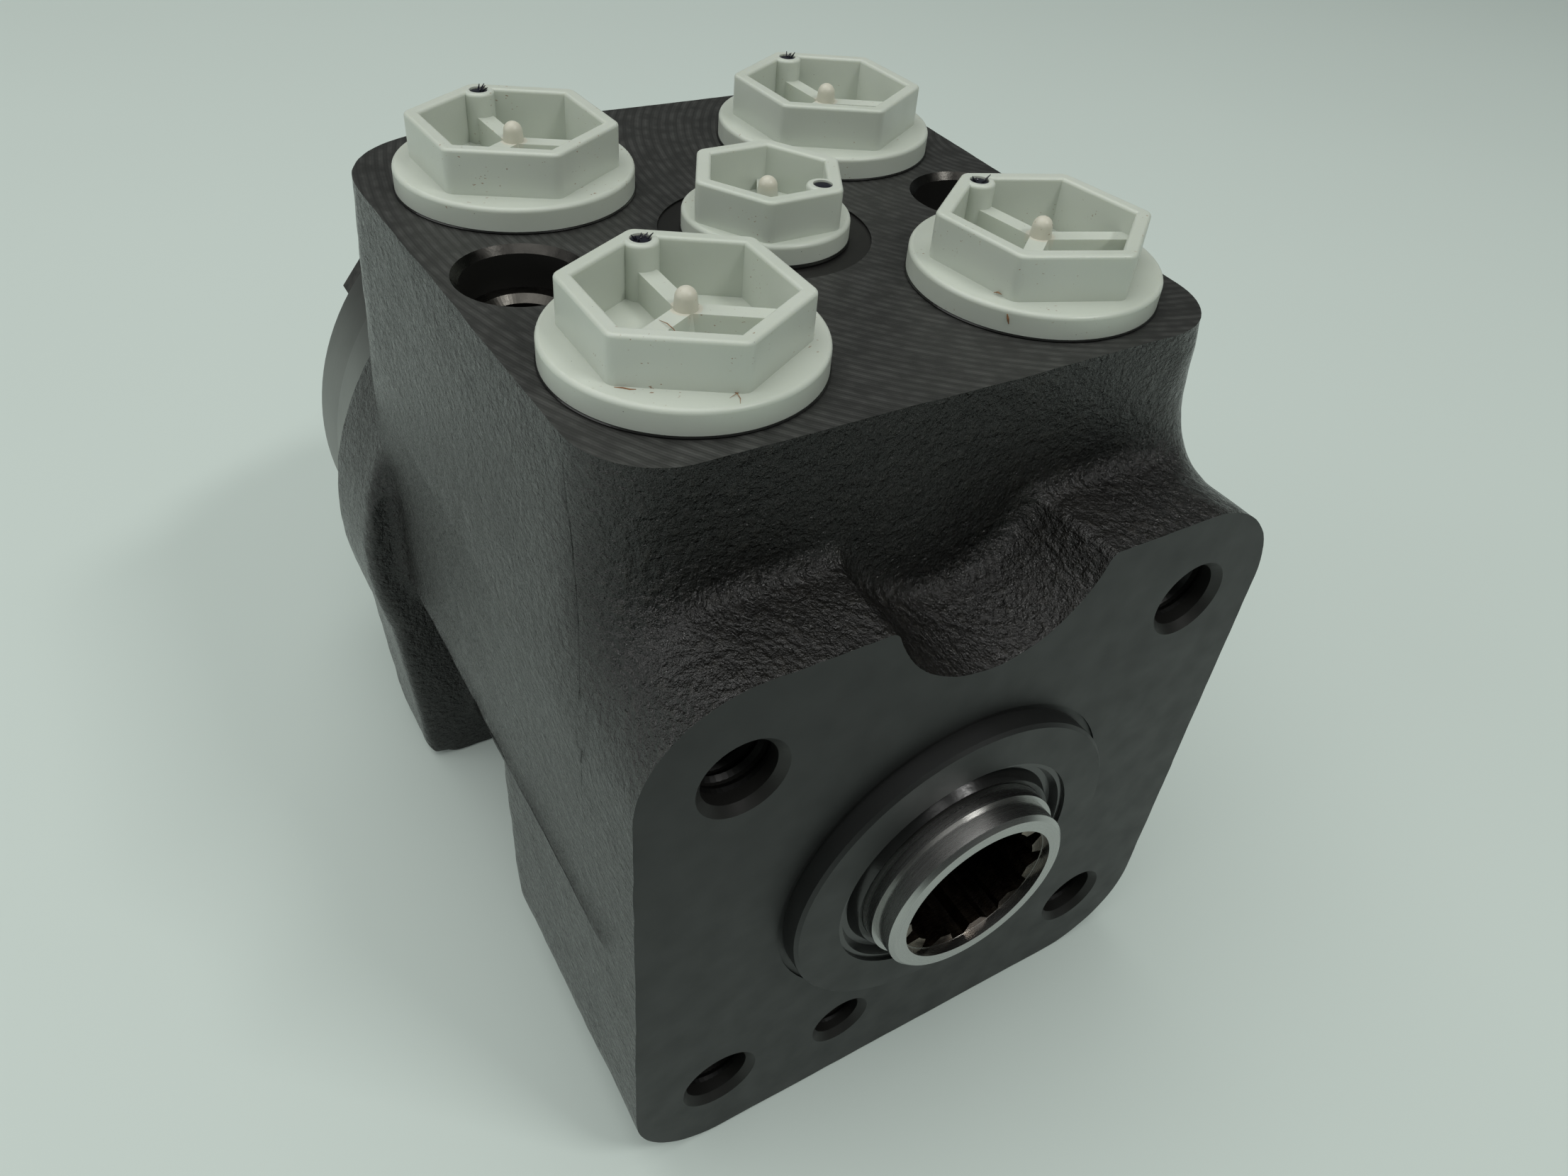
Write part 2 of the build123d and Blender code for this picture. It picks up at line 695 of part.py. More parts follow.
with BuildPart() as distributor_plate:
    turned(plate_bore_radius, gear_outer_radius, rear_face, plate_rear)
    for angle in chamber_angles:
        bored(*on_circle(chamber_port_circle, angle), rear_face - run_out, plate_rear + run_out, chamber_port_radius)
    for angle in screw_angles:
        bored(*on_circle(screw_circle_radius, angle), rear_face - run_out, plate_rear + run_out,
              screw_radius + loose_clearance)
distributor_plate.part.label = "distributor_plate"
export_step(distributor_plate.part, "parts/distributor_plate.step")

with BuildSketch() as chamber_outline:
    Circle(pocket_radius)
    with PolarLocations(lobe_circle, lobe_count, start_angle=90):
        Circle(lobe_radius, mode=Mode.SUBTRACT)

with BuildPart() as gear_rim:
    turned(0, gear_outer_radius, plate_rear, gear_rear)
    across(chamber_outline.sketch, plate_rear - run_out, gear_width + 2 * run_out, Mode.SUBTRACT)
    for angle in screw_angles:
        bored(*on_circle(screw_circle_radius, angle), plate_rear - run_out, gear_rear + run_out,
              screw_radius + loose_clearance)
    turned(face_o_ring_radius - o_ring_groove_width / 2, face_o_ring_radius + o_ring_groove_width / 2,
           plate_rear - run_out, plate_rear + 2 * o_ring_section + seat_gap, Mode.SUBTRACT)
gear_rim.part.label = "gear_rim"
export_step(gear_rim.part, "parts/gear_rim.step")

star_spline = spline_outline(cardan_minor_radius + cardan_spline_clearance,
                             cardan_major_radius + cardan_spline_clearance,
                             cardan_tooth_root_half + cardan_spline_clearance,
                             tooth_tip_half + cardan_spline_clearance)

with BuildPart() as gear_star:
    across(Pos(0, star_height) * Rot(0, 0, star_turn) * star_outline(), plate_rear + star_side_clearance,
           gear_width - 2 * star_side_clearance)
    across(Pos(0, star_height) * star_spline, plate_rear - run_out, gear_width + 2 * run_out, Mode.SUBTRACT)
gear_star.part.label = "gear_star"
export_step(gear_star.part, "parts/gear_star.step")

with BuildPart() as cardan_spacer:
    bored(0, star_height, gear_rear - spacer_thickness + seat_gap, gear_rear - seat_gap,
          cardan_minor_radius, mode=Mode.ADD)
cardan_spacer.part.label = "cardan_spacer"
export_step(cardan_spacer.part, "parts/cardan_spacer.step")

with BuildPart() as end_cover:
    turned(0, gear_outer_radius, gear_rear, cover_rear)
    chamfer(end_cover.edges().group_by(Axis.Y)[-1], cover_chamfer)
    for angle in screw_angles:
        bored(*on_circle(screw_circle_radius, angle), gear_rear - run_out, cover_rear + run_out,
              screw_radius + loose_clearance)
    turned(face_o_ring_radius - o_ring_groove_width / 2, face_o_ring_radius + o_ring_groove_width / 2,
           gear_rear - run_out, gear_rear + 2 * o_ring_section + seat_gap, Mode.SUBTRACT)
end_cover.part.label = "end_cover"
export_step(end_cover.part, "parts/end_cover.step")

for name, station in (("housing_o_ring", rear_face - o_ring_section - seat_gap / 2),
                      ("rim_o_ring", plate_rear + o_ring_section + seat_gap / 2),
                      ("cover_o_ring", gear_rear + o_ring_section + seat_gap / 2)):
    with BuildPart() as ring:
        o_ring(face_o_ring_radius, station)
    ring.part.label = name
    export_step(ring.part, f"parts/{name}.step")


# Cover screws, one of them longer over the loose ball, and their washers

screw_tip = rear_face - screw_engagement + seat_gap
head_start = cover_rear + washer_thickness


def cover_screw(angle, tip):
    """A hexagon screw from its head behind the cover to its tip in the housing."""
    x, z = on_circle(screw_circle_radius, angle)
    bored(x, z, tip, head_start, screw_radius, Mode.ADD)
    with BuildSketch(front_plane(head_start)) as head:
        with Locations(Location((x, z), angle)):
            RegularPolygon(screw_head_flats / 2, 6, major_radius=False, rotation=30)
    extrude(head.sketch, amount=-screw_head_height)


with BuildPart() as cover_screws:
    for angle in screw_angles:
        if angle != screw_angles[1]:
            cover_screw(angle, screw_tip)
cover_screws.part.label = "cover_screws"
export_step(cover_screws.part, "parts/cover_screws.step")

with BuildPart() as pin_screw:
    cover_screw(screw_angles[1], screw_tip)
pin_screw.part.label = "pin_screw"
export_step(pin_screw.part, "parts/pin_screw.step")

with BuildPart() as cover_washers:
    for angle in screw_angles:
        x, z = on_circle(screw_circle_radius, angle)
        bored(x, z, cover_rear, head_start, washer_radius, Mode.ADD)
        bored(x, z, cover_rear - run_out, head_start + run_out, screw_radius + loose_clearance)
cover_washers.part.label = "cover_washers"
export_step(cover_washers.part, "parts/cover_washers.step")

with BuildPart() as manual_check_ball:
    x, z = on_circle(screw_circle_radius, screw_angles[1])
    with Locations((x, screw_tip - manual_ball_radius - manual_ball_travel - seat_gap, z)):
        Sphere(manual_ball_radius)
manual_check_ball.part.label = "manual_check_ball"
export_step(manual_check_ball.part, "parts/manual_check_ball.step")


# Shipping plugs with their sealing rings

def shipping_plug(x, y, radius, flange, height, hex_radius, stub_radius, turn, rib_height, nub_height):
    """A moulded plug: round flange, hexagon wall round a ribbed well, hollow stub."""
    floor = plug_base + plug_floor
    top = plug_base + height
    well_radius = hex_radius - plug_wall
    nub_cone = nub_height - plug_nub_tip
    post_x, post_y = on_circle(hex_radius - plug_post_inset, 90 + turn)
    drilled(x, y, plug_base + flange, plug_base, radius, Mode.ADD)
    fillet(faces().sort_by(Axis.Z)[-1].edges(), plug_edge_fillet)
    with BuildSketch(Plane.XY.offset(plug_base + flange)) as hexagon:
        with Locations(Location((x, y), turn)):
            RegularPolygon(hex_radius, 6, rotation=90)
        fillet(hexagon.vertices(), plug_hex_corner)
    extrude(hexagon.sketch, amount=height - flange)
    with BuildSketch(Plane.XY.offset(floor)) as well:
        with Locations(Location((x, y), turn)):
            RegularPolygon(well_radius, 6, rotation=90)
        with Locations((x + post_x, y + post_y)):
            Circle(plug_post_radius, mode=Mode.SUBTRACT)
    extrude(well.sketch, amount=height, mode=Mode.SUBTRACT)
    fillet(faces().sort_by(Axis.Z)[-1].edges(), plug_rim_fillet)
    drilled(x + post_x, y + post_y, top + run_out, top - plug_post_hole_depth, plug_post_hole_radius)

    # Three ribs from the middle to every other corner, and the rounded nub where they meet
    for corner in (90, 210, 330):
        with Locations(Location((x, y, floor - plug_floor / 2), (0, 0, corner + turn))):
            Box(well_radius, plug_rib_thickness, rib_height + plug_floor / 2,
                align=(Align.MIN, Align.CENTER, Align.MIN))
    with Locations((x, y, floor)):
        Cone(plug_nub_radius, plug_nub_tip, nub_cone, align=(Align.CENTER, Align.CENTER, Align.MIN))
    with Locations((x, y, floor + nub_cone)):
        Sphere(plug_nub_tip)
    drilled(x, y, plug_base, plug_base - plug_stub_length, stub_radius, Mode.ADD)
    drilled(x, y, plug_base, plug_base - plug_stub_length - run_out, stub_radius - plug_stub_wall)


for port, place in port_places.items():
    with BuildPart() as plug:
        shipping_plug(*place, plug_radius, plug_flange, plug_height, plug_hex_radius,
                      port_bore_radius - loose_clearance, plug_turns[port], plug_rib_height,
                      plug_nub_height)
    plug.part.label = f"port_plug_{port}"
    export_step(plug.part, f"parts/port_plug_{port}.step")
    with BuildPart() as plug_ring:
        with Locations((*place, plug_ring_height)):
            Torus(plug_o_ring_radius, o_ring_section)
    plug_ring.part.label = f"plug_o_ring_{port}"
    export_step(plug_ring.part, f"parts/plug_o_ring_{port}.step")

with BuildPart() as ls_plug:
    shipping_plug(0, port_centre_y, ls_plug_radius, ls_plug_flange, ls_plug_height, ls_plug_hex_radius,
                  ls_bore_radius - loose_clearance, ls_plug_turn, ls_plug_rib_height, ls_plug_nub_height)
ls_plug.part.label = "ls_plug"
export_step(ls_plug.part, "parts/ls_plug.step")

with BuildPart() as ls_plug_o_ring:
    with Locations((0, port_centre_y, plug_ring_height)):
        Torus(ls_o_ring_radius, o_ring_section)
ls_plug_o_ring.part.label = "ls_plug_o_ring"
export_step(ls_plug_o_ring.part, "parts/ls_plug_o_ring.step")


# Check valve under the pump port: a ball below its threaded seat

check_ball_height = check_floor + check_ball_radius + seat_gap
check_seat_bottom = check_ball_height + check_travel + check_seat_reach

with BuildPart() as check_ball:
    with Locations((*port_places["p"], check_ball_height)):
        Sphere(check_ball_radius)
check_ball.part.label = "check_ball"
export_step(check_ball.part, "parts/check_ball.step")

with BuildPart() as check_seat:
    drilled(*port_places["p"], check_seat_bottom + check_seat_height, check_seat_bottom,
            check_chamber_radius - shaft_clearance, Mode.ADD)
    drilled(*port_places["p"], check_seat_bottom + check_seat_height + run_out,
            check_seat_bottom - run_out, check_seat_bore)
    with Locations((*port_places["p"], check_ball_height + check_travel + seat_gap)):
        Sphere(check_ball_radius + seat_gap, mode=Mode.SUBTRACT)
check_seat.part.label = "check_seat"
export_step(check_seat.part, "parts/check_seat.step")


# Pilot relief valve under the load sensing port

relief_ball_height = relief_floor + sqrt((relief_ball_radius + seat_gap)**2 - relief_orifice_radius**2)
guide_bottom = relief_ball_height + relief_ball_radius + seat_gap
spring_bottom = guide_bottom + relief_guide_height
spring_top = spring_bottom + relief_spring_length

with BuildPart() as relief_ball:
    with Locations((0, port_centre_y, relief_ball_height)):
        Sphere(relief_ball_radius)
relief_ball.part.label = "relief_ball"
export_step(relief_ball.part, "parts/relief_ball.step")

with BuildPart() as relief_guide:
    drilled(0, port_centre_y, guide_bottom + relief_guide_height, guide_bottom,
            relief_bore_radius - loose_clearance, Mode.ADD)
relief_guide.part.label = "relief_guide"
export_step(relief_guide.part, "parts/relief_guide.step")

coil_bottom = spring_bottom + relief_spring_wire + seat_gap
coil_rise = relief_spring_length - 2 * relief_spring_wire - 2 * seat_gap

with BuildPart() as relief_spring:
    with BuildLine() as coil:
        Helix(coil_rise / relief_spring_turns, coil_rise, relief_spring_radius,
              center=(0, port_centre_y, coil_bottom))
    with BuildSketch(Plane(origin=coil.line @ 0, z_dir=coil.line % 0)):
        Circle(relief_spring_wire)
    sweep()
relief_spring.part.label = "relief_spring"
export_step(relief_spring.part, "parts/relief_spring.step")

with BuildPart() as relief_screw:
    drilled(0, port_centre_y, spring_top + relief_screw_height, spring_top,
            relief_bore_radius - shaft_clearance, Mode.ADD)
    with BuildSketch(Plane.XY.offset(spring_top + relief_screw_height)):
        with Locations((0, port_centre_y)):
            RegularPolygon(relief_socket_flats / 2, 6, major_radius=False)
    extrude(amount=-relief_screw_height / 2, mode=Mode.SUBTRACT)
relief_screw.part.label = "relief_screw"
export_step(relief_screw.part, "parts/relief_screw.step")
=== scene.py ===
import json
import math
import random

import bpy
import numpy as np
from mathutils import Matrix, Vector, kdtree, noise


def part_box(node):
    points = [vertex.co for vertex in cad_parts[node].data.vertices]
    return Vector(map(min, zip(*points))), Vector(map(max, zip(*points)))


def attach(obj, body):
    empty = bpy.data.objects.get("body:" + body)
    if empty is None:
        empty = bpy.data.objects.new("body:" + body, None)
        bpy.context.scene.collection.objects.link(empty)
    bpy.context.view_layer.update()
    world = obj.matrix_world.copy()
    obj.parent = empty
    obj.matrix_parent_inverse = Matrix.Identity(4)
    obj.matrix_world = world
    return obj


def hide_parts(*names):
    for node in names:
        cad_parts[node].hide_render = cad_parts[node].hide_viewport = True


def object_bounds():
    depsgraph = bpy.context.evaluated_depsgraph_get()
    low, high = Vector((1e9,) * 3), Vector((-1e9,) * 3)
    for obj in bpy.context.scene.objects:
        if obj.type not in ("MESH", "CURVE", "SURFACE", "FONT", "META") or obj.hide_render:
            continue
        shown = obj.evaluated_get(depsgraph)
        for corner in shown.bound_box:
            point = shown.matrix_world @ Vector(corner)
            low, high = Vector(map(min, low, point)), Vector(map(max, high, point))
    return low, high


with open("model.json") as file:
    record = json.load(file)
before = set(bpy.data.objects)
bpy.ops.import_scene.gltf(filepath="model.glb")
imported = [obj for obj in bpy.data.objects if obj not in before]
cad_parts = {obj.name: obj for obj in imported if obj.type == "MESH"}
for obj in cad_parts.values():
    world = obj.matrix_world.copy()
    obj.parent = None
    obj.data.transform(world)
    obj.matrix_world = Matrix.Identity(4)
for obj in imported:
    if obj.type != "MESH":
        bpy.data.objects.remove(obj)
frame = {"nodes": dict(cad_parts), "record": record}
cad_box = [list(corner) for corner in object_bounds()]

MM = 0.001


# Materials

class Maker:
    """One node material. Its places are millimetres in the part's own frame."""

    def __init__(self, name, colour=(0.5, 0.5, 0.5), metallic=0.0, roughness=0.5):
        self.material = bpy.data.materials.new(name)
        self.material.use_nodes = True
        self.tree = self.material.node_tree
        self.shader = self.tree.nodes["Principled BSDF"]
        self.put("Base Color", (*colour, 1))
        self.put("Metallic", metallic)
        self.put("Roughness", roughness)
        coordinates = self.node("ShaderNodeTexCoord")
        scale = self.node("ShaderNodeVectorMath", operation="SCALE")
        scale.inputs["Scale"].default_value = 1 / MM
        self.tree.links.new(coordinates.outputs["Object"], scale.inputs[0])
        self.place = scale.outputs[0]

    def node(self, kind, **settings):
        made = self.tree.nodes.new(kind)
        for key, value in settings.items():
            setattr(made, key, value)
        return made

    def put(self, socket, value):
        """Sets one of the shader's sockets, or links an output to it."""
        if isinstance(value, bpy.types.NodeSocket):
            self.tree.links.new(value, self.shader.inputs[socket])
        else:
            self.shader.inputs[socket].default_value = value

    def feed(self, made, socket, value):
        if isinstance(value, bpy.types.NodeSocket):
            self.tree.links.new(value, made.inputs[socket])
        else:
            made.inputs[socket].default_value = value

    def stretched(self, x, y, z):
        made = self.node("ShaderNodeVectorMath", operation="MULTIPLY")
        self.tree.links.new(self.place, made.inputs[0])
        made.inputs[1].default_value = (x, y, z)
        return made.outputs[0]

    def grain(self, size, detail=2.0, roughness=0.5, place=None, distortion=0.0):
        made = self.node("ShaderNodeTexNoise")
        self.tree.links.new(place or self.place, made.inputs["Vector"])
        made.inputs["Scale"].default_value = 1 / size
        made.inputs["Detail"].default_value = detail
        made.inputs["Roughness"].default_value = roughness
        made.inputs["Distortion"].default_value = distortion
        return made.outputs["Fac"]

    def cells(self, size, feature="F1", place=None):
        made = self.node("ShaderNodeTexVoronoi", feature=feature)
        self.tree.links.new(place or self.place, made.inputs["Vector"])
        made.inputs["Scale"].default_value = 1 / size
        return made.outputs["Distance"]

    def maths(self, operation, first, second=0.0, third=0.0):
        made = self.node("ShaderNodeMath", operation=operation)
        self.feed(made, 0, first)
        self.feed(made, 1, second)
        self.feed(made, 2, third)
        return made.outputs[0]

    def ranged(self, value, low, high, to_low=0.0, to_high=1.0):
        made = self.node("ShaderNodeMapRange")
        self.feed(made, "Value", value)
        made.inputs["From Min"].default_value = low
        made.inputs["From Max"].default_value = high
        made.inputs["To Min"].default_value = to_low
        made.inputs["To Max"].default_value = to_high
        return made.outputs["Result"]

    def mixed(self, factor, first, second):
        made = self.node("ShaderNodeMix", data_type="RGBA")
        self.feed(made, "Factor", factor)
        for socket, value in ((6, first), (7, second)):
            if isinstance(value, bpy.types.NodeSocket):
                self.tree.links.new(value, made.inputs[socket])
            else:
                made.inputs[socket].default_value = (*value, 1)
        return made.outputs[2]

    def parts(self):
        made = self.node("ShaderNodeSeparateXYZ")
        self.tree.links.new(self.place, made.inputs[0])
        return made.outputs

    def from_point(self, centre, flat=(1, 1, 1)):
        """Distance in millimetres from a point, with some axes left out."""
        made = self.node("ShaderNodeVectorMath", operation="MULTIPLY")
        away = self.node("ShaderNodeVectorMath", operation="SUBTRACT")
        self.tree.links.new(self.place, away.inputs[0])
        away.inputs[1].default_value = centre
        self.tree.links.new(away.outputs[0], made.inputs[0])
        made.inputs[1].default_value = flat
        length = self.node("ShaderNodeVectorMath", operation="LENGTH")
        self.tree.links.new(made.outputs[0], length.inputs[0])
        return length.outputs["Value"]

    def bump(self, height, depth, strength=1.0):
        """Adds relief of a depth in millimetres on top of what is there."""
        made = self.node("ShaderNodeBump")
        self.feed(made, "Height", height)
        made.inputs["Distance"].default_value = depth * MM
        made.inputs["Strength"].default_value = strength
        before = self.shader.inputs["Normal"].links
        if before:
            self.tree.links.new(before[0].from_socket, made.inputs["Normal"])
        self.tree.links.new(made.outputs["Normal"], self.shader.inputs["Normal"])


def cast_skin():
    """Painted sand casting: fine orange peel with dark pits, glossy where it is worn. The peaks of the peel are
    painted lighter, a painted highlight, and the pits darker, a painted shade.
    """
    m = Maker("cast_skin", roughness=0.28)
    along = m.stretched(1, 0.75, 1)
    broad = m.grain(14, 3)
    peel = m.grain(0.95, 4, 0.66, along)
    fine = m.grain(0.32, 2, 0.6, along)
    pits = m.cells(1.05, place=along)
    tone = m.mixed(m.ranged(broad, 0.35, 0.65), (0.0055, 0.0052, 0.0046), (0.0100, 0.0094, 0.0082))
    # The raised peaks of the peel are painted lighter: painted highlight.
    tone = m.mixed(m.ranged(peel, 0.54, 0.70, 0, 0.5), tone, (0.034, 0.0315, 0.027))
    # The pits are painted darker: painted shade.
    tone = m.mixed(m.ranged(pits, 0.10, 0.30, 0.6, 0), tone, (0.003, 0.003, 0.003))
    m.put("Base Color", tone)
    m.put("Roughness", m.ranged(m.grain(0.6, 2, place=along), 0.35, 0.65, 0.12, 0.30))
    m.put("Specular IOR Level", 0.60)
    m.bump(peel, 0.62)
    m.bump(m.ranged(pits, 0.0, 0.35), 0.05)
    m.bump(fine, 0.13)
    return m.material


def milled(name, colour, centre=None, pitch=1.15, lines=0.012):
    """A machined face of the casting, with the arcs of the cutter where a centre is given, painted into the colour
    as lighter bands of sheen.
    """
    m = Maker(name, metallic=0.35, roughness=0.44)
    cloud = m.grain(13, 4, 0.6)
    dark = tuple(c * 0.88 for c in colour)
    tone = m.mixed(m.ranged(cloud, 0.35, 0.65), dark, colour)
    speck = m.ranged(m.grain(0.45, 2), 0.60, 0.74, 0, 0.30)
    tone = m.mixed(speck, tone, tuple(c * 0.6 for c in colour))
    if centre:
        reach = m.from_point(centre, (1, 1, 0))
        reach = m.maths("ADD", reach, m.ranged(m.grain(6, 2), 0, 1, 0, 0.25))
        wave = m.maths("SINE", m.maths("MULTIPLY", reach, 2 * math.pi / pitch))
        fine = m.maths("SINE", m.maths("MULTIPLY", reach, 2 * math.pi / (pitch * 0.31)))
        both = m.maths("ADD", wave, m.maths("MULTIPLY", fine, 0.45))
        broken = m.ranged(m.grain(2.2, 3), 0.38, 0.62, 0.10, 0.55)
        # The cutter arcs are painted lighter into the colour, up to 3.2 times: a painted sheen over their small
        # relief.
        arc_sheen = m.maths("MULTIPLY", m.ranged(both, -1.4, 1.4), broken)
        tone = m.mixed(arc_sheen, tone, tuple(c * 3.2 for c in colour))
        m.bump(both, lines)
    m.put("Base Color", tone)
    m.put("Roughness", m.ranged(m.grain(4.3, 3), 0.3, 0.7, 0.40, 0.50))
    m.bump(m.grain(0.25, 2), 0.006)
    return m.material


def turned_steel(name, colour, roughness=0.28, lines=0.0015, stained=0.25):
    """Steel turned about the shaft axis, with fine rings round it."""
    m = Maker(name, colour, 1.0, roughness)
    x, y, z = m.parts()
    radius = m.from_point((0, 0, 0), (1, 0, 1))
    facing = m.node("ShaderNodeSeparateXYZ")
    m.tree.links.new(m.node("ShaderNodeTexCoord").outputs["Normal"], facing.inputs[0])
    on_end = m.ranged(m.maths("ABSOLUTE", facing.outputs[1]), 0.6, 0.8)
    place = m.maths("ADD", m.maths("MULTIPLY", radius, on_end),
                    m.maths("MULTIPLY", y, m.maths("SUBTRACT", 1.0, on_end)))
    step = m.node("ShaderNodeCombineXYZ")
    m.tree.links.new(place, step.inputs[0])
    rings = m.grain(0.24, 2, place=step.outputs[0])
    stain = m.maths("MULTIPLY", m.ranged(m.grain(6.5, 3), 0.42, 0.7), stained)
    tone = m.mixed(stain, colour, tuple(c * 0.6 for c in colour))
    tone = m.mixed(m.ranged(rings, 0.35, 0.65, 0, 0.10), tone, tuple(c * 0.62 for c in colour))
    m.put("Base Color", tone)
    m.put("Roughness", m.ranged(rings, 0.3, 0.7, roughness - 0.02, roughness + 0.03))
    m.bump(rings, lines)
    return m, radius, y


def spool_steel():
    """Bright outside and on the end, browner down among the socket's teeth."""
    m, radius, y = turned_steel("spool_steel", (0.43, 0.43, 0.42), 0.27, 0.0003, 0.12)
    before = m.shader.inputs["Base Color"].links[0].from_socket
    inside = m.ranged(radius, 10.15, 10.32, 1, 0)
    deep = m.ranged(y, -6.6, -5.95)
    warm = m.mixed(m.ranged(m.grain(1.3, 3), 0.35, 0.65), (0.060, 0.044, 0.032), (0.18, 0.142, 0.108))
    m.put("Base Color", m.mixed(m.maths("MULTIPLY", inside, deep), before, warm))
    return m.material


def moulded_plastic():
    """Pale plastic with the cream gate nub in each well, a little rust and dust."""
    m = Maker("moulded_plastic", roughness=0.36)
    cloud = m.grain(14, 2)
    tone = m.mixed(m.ranged(cloud, 0.3, 0.7), (0.535, 0.575, 0.505), (0.575, 0.61, 0.545))
    nub = 50.0
    for centre in plug_centres:
        nub = m.maths("MINIMUM", nub, m.from_point((centre.x, centre.y, 0), (1, 1, 0)))
    x, y, z = m.parts()
    nub = m.maths("MULTIPLY", m.ranged(nub, 1.5, 1.7, 0.8, 0), m.ranged(z, 61.0, 62.4))
    tone = m.mixed(nub, tone, (0.62, 0.585, 0.49))
    rust = m.ranged(m.grain(0.55, 1, place=m.stretched(1, 1.6, 2.2)), 0.72, 0.76, 0, 0.85)
    rust = m.maths("MULTIPLY", rust, m.ranged(m.grain(6.5, 1), 0.57, 0.61))
    tone = m.mixed(rust, tone, (0.26, 0.15, 0.08))
    dust = m.ranged(m.cells(0.95), 0.04, 0.07, 0.75, 0)
    dust = m.maths("MULTIPLY", dust, m.ranged(m.grain(3.6, 1), 0.59, 0.63))
    tone = m.mixed(dust, tone, (0.05, 0.05, 0.045))
    m.put("Base Color", tone)
    m.put("Roughness", m.ranged(m.grain(2.7, 3), 0.3, 0.7, 0.31, 0.43))
    m.put("Subsurface Weight", 0.14)
    m.put("Subsurface Radius", (0.0016, 0.0015, 0.0011))
    m.put("Subsurface Scale", 1.0)
    m.bump(m.grain(0.5, 2), 0.010)
    m.bump(m.grain(5, 2), 0.04)
    return m.material


def rubber():
    m = Maker("seal_rubber", (0.012, 0.012, 0.012), 0.0, 0.20)
    m.put("Base Color", m.mixed(m.grain(3, 2), (0.007, 0.007, 0.007), (0.015, 0.015, 0.014)))
    m.bump(m.grain(0.5, 2), 0.01)
    return m.material


def phosphated():
    m = Maker("phosphated_steel", (0.045, 0.045, 0.043), 0.55, 0.5)
    m.put("Base Color", m.mixed(m.ranged(m.grain(1.6, 3), 0.35, 0.65), (0.030, 0.030, 0.030),
                                (0.075, 0.073, 0.068)))
    m.bump(m.grain(0.4, 2), 0.015)
    return m.material


def plain_metal(name, colour, roughness):
    m = Maker(name, colour, 1.0, roughness)
    m.put("Base Color", m.mixed(m.ranged(m.grain(3.2, 3), 0.35, 0.65), tuple(c * 0.72 for c in colour), colour))
    m.put("Roughness", m.ranged(m.grain(1.2, 2), 0.3, 0.7, roughness - 0.05, roughness + 0.08))
    m.bump(m.grain(0.3, 2), 0.006)
    return m.material


def ink():
    m = Maker("dark_ink", (0.008, 0.009, 0.015), 0.0, 0.3)
    m.put("Base Color", m.mixed(m.grain(0.5, 2), (0.006, 0.007, 0.014), (0.02, 0.021, 0.03)))
    m.bump(m.grain(0.3, 2), 0.03)
    return m.material


def rust_fibre():
    m = Maker("rust_fibre", (0.24, 0.10, 0.035), 0.0, 0.6)
    m.put("Base Color", m.mixed(m.ranged(m.grain(0.4, 2), 0.3, 0.7), (0.17, 0.065, 0.022), (0.36, 0.19, 0.085)))
    m.bump(m.grain(0.15, 2), 0.01)
    return m.material


def middle_of(node):
    low, high = (Vector(corner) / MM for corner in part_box(node))
    return (low + high) / 2


plug_nodes = {"t": "port_plug_t", "p": "port_plug_p", "l": "port_plug_l", "r": "port_plug_r", "ls": "ls_plug"}
plug_centres = [middle_of(node) for node in plug_nodes.values()]
CUTTER_CENTRE = (45.0, 64.0, 57.0)
iron = (0.022, 0.023, 0.0225)
paints = {
    "cast": cast_skin(),
    "front": milled("milled_front", iron),
    "top": milled("milled_top", (0.034, 0.0345, 0.0325), CUTTER_CENTRE),
    # The drilled walls are set a little darker than the milled faces, and the thread ridges in the blind holes near
    # black: painted shade down the holes.
    "hole": milled("drilled_wall", (0.020, 0.0195, 0.018)),
    "deep": milled("shaded_thread", (0.006, 0.006, 0.0055)),
    "edge": plain_metal("cut_edge", (0.052, 0.050, 0.046), 0.26),
    "seat": plain_metal("seat_face", (0.10, 0.095, 0.085), 0.30),
    "spool": spool_steel(),
    "steel": turned_steel("ground_steel", (0.50, 0.49, 0.47))[0].material,
    "plate": turned_steel("gear_steel", (0.26, 0.26, 0.25), 0.38, 0.003)[0].material,
    "cover": turned_steel("cover_steel", (0.22, 0.22, 0.21), 0.40, 0.003)[0].material,
    "plastic": moulded_plastic(),
    "rubber": rubber(),
    "dark": phosphated(),
    "spring": plain_metal("spring_steel", (0.35, 0.36, 0.38), 0.3),
    "washer": plain_metal("washer_metal", (0.13, 0.128, 0.12), 0.45),
    "ink": ink(),
    "fibre": rust_fibre(),
}


def paint(piece, key):
    piece.data.materials.clear()
    piece.data.materials.append(paints[key])


by_slot = {"housing_iron": "hole", "ground_steel": "steel", "gear_steel": "plate", "cover_steel": "cover",
           "phosphated_steel": "dark", "spring_steel": "spring", "washer_metal": "washer",
           "seal_rubber": "rubber", "plug_plastic": "plastic"}
for entry in frame["record"]["subparts"]:
    paint(frame["nodes"][entry["node"]], by_slot[entry["material_slot"]])
paint(frame["nodes"]["spool"], "spool")


# Making pieces

def piece_from(name, points, faces, body, paint_key=None):
    """A new mesh piece in the part's frame that rides on a body."""
    mesh = bpy.data.meshes.new(name)
    mesh.from_pydata([tuple(p) for p in points], [], [tuple(int(i) for i in f) for f in faces])
    mesh.update()
    made = bpy.data.objects.new(name, mesh)
    bpy.context.scene.collection.objects.link(made)
    if paint_key:
        paint(made, paint_key)
    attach(made, body)
    return made


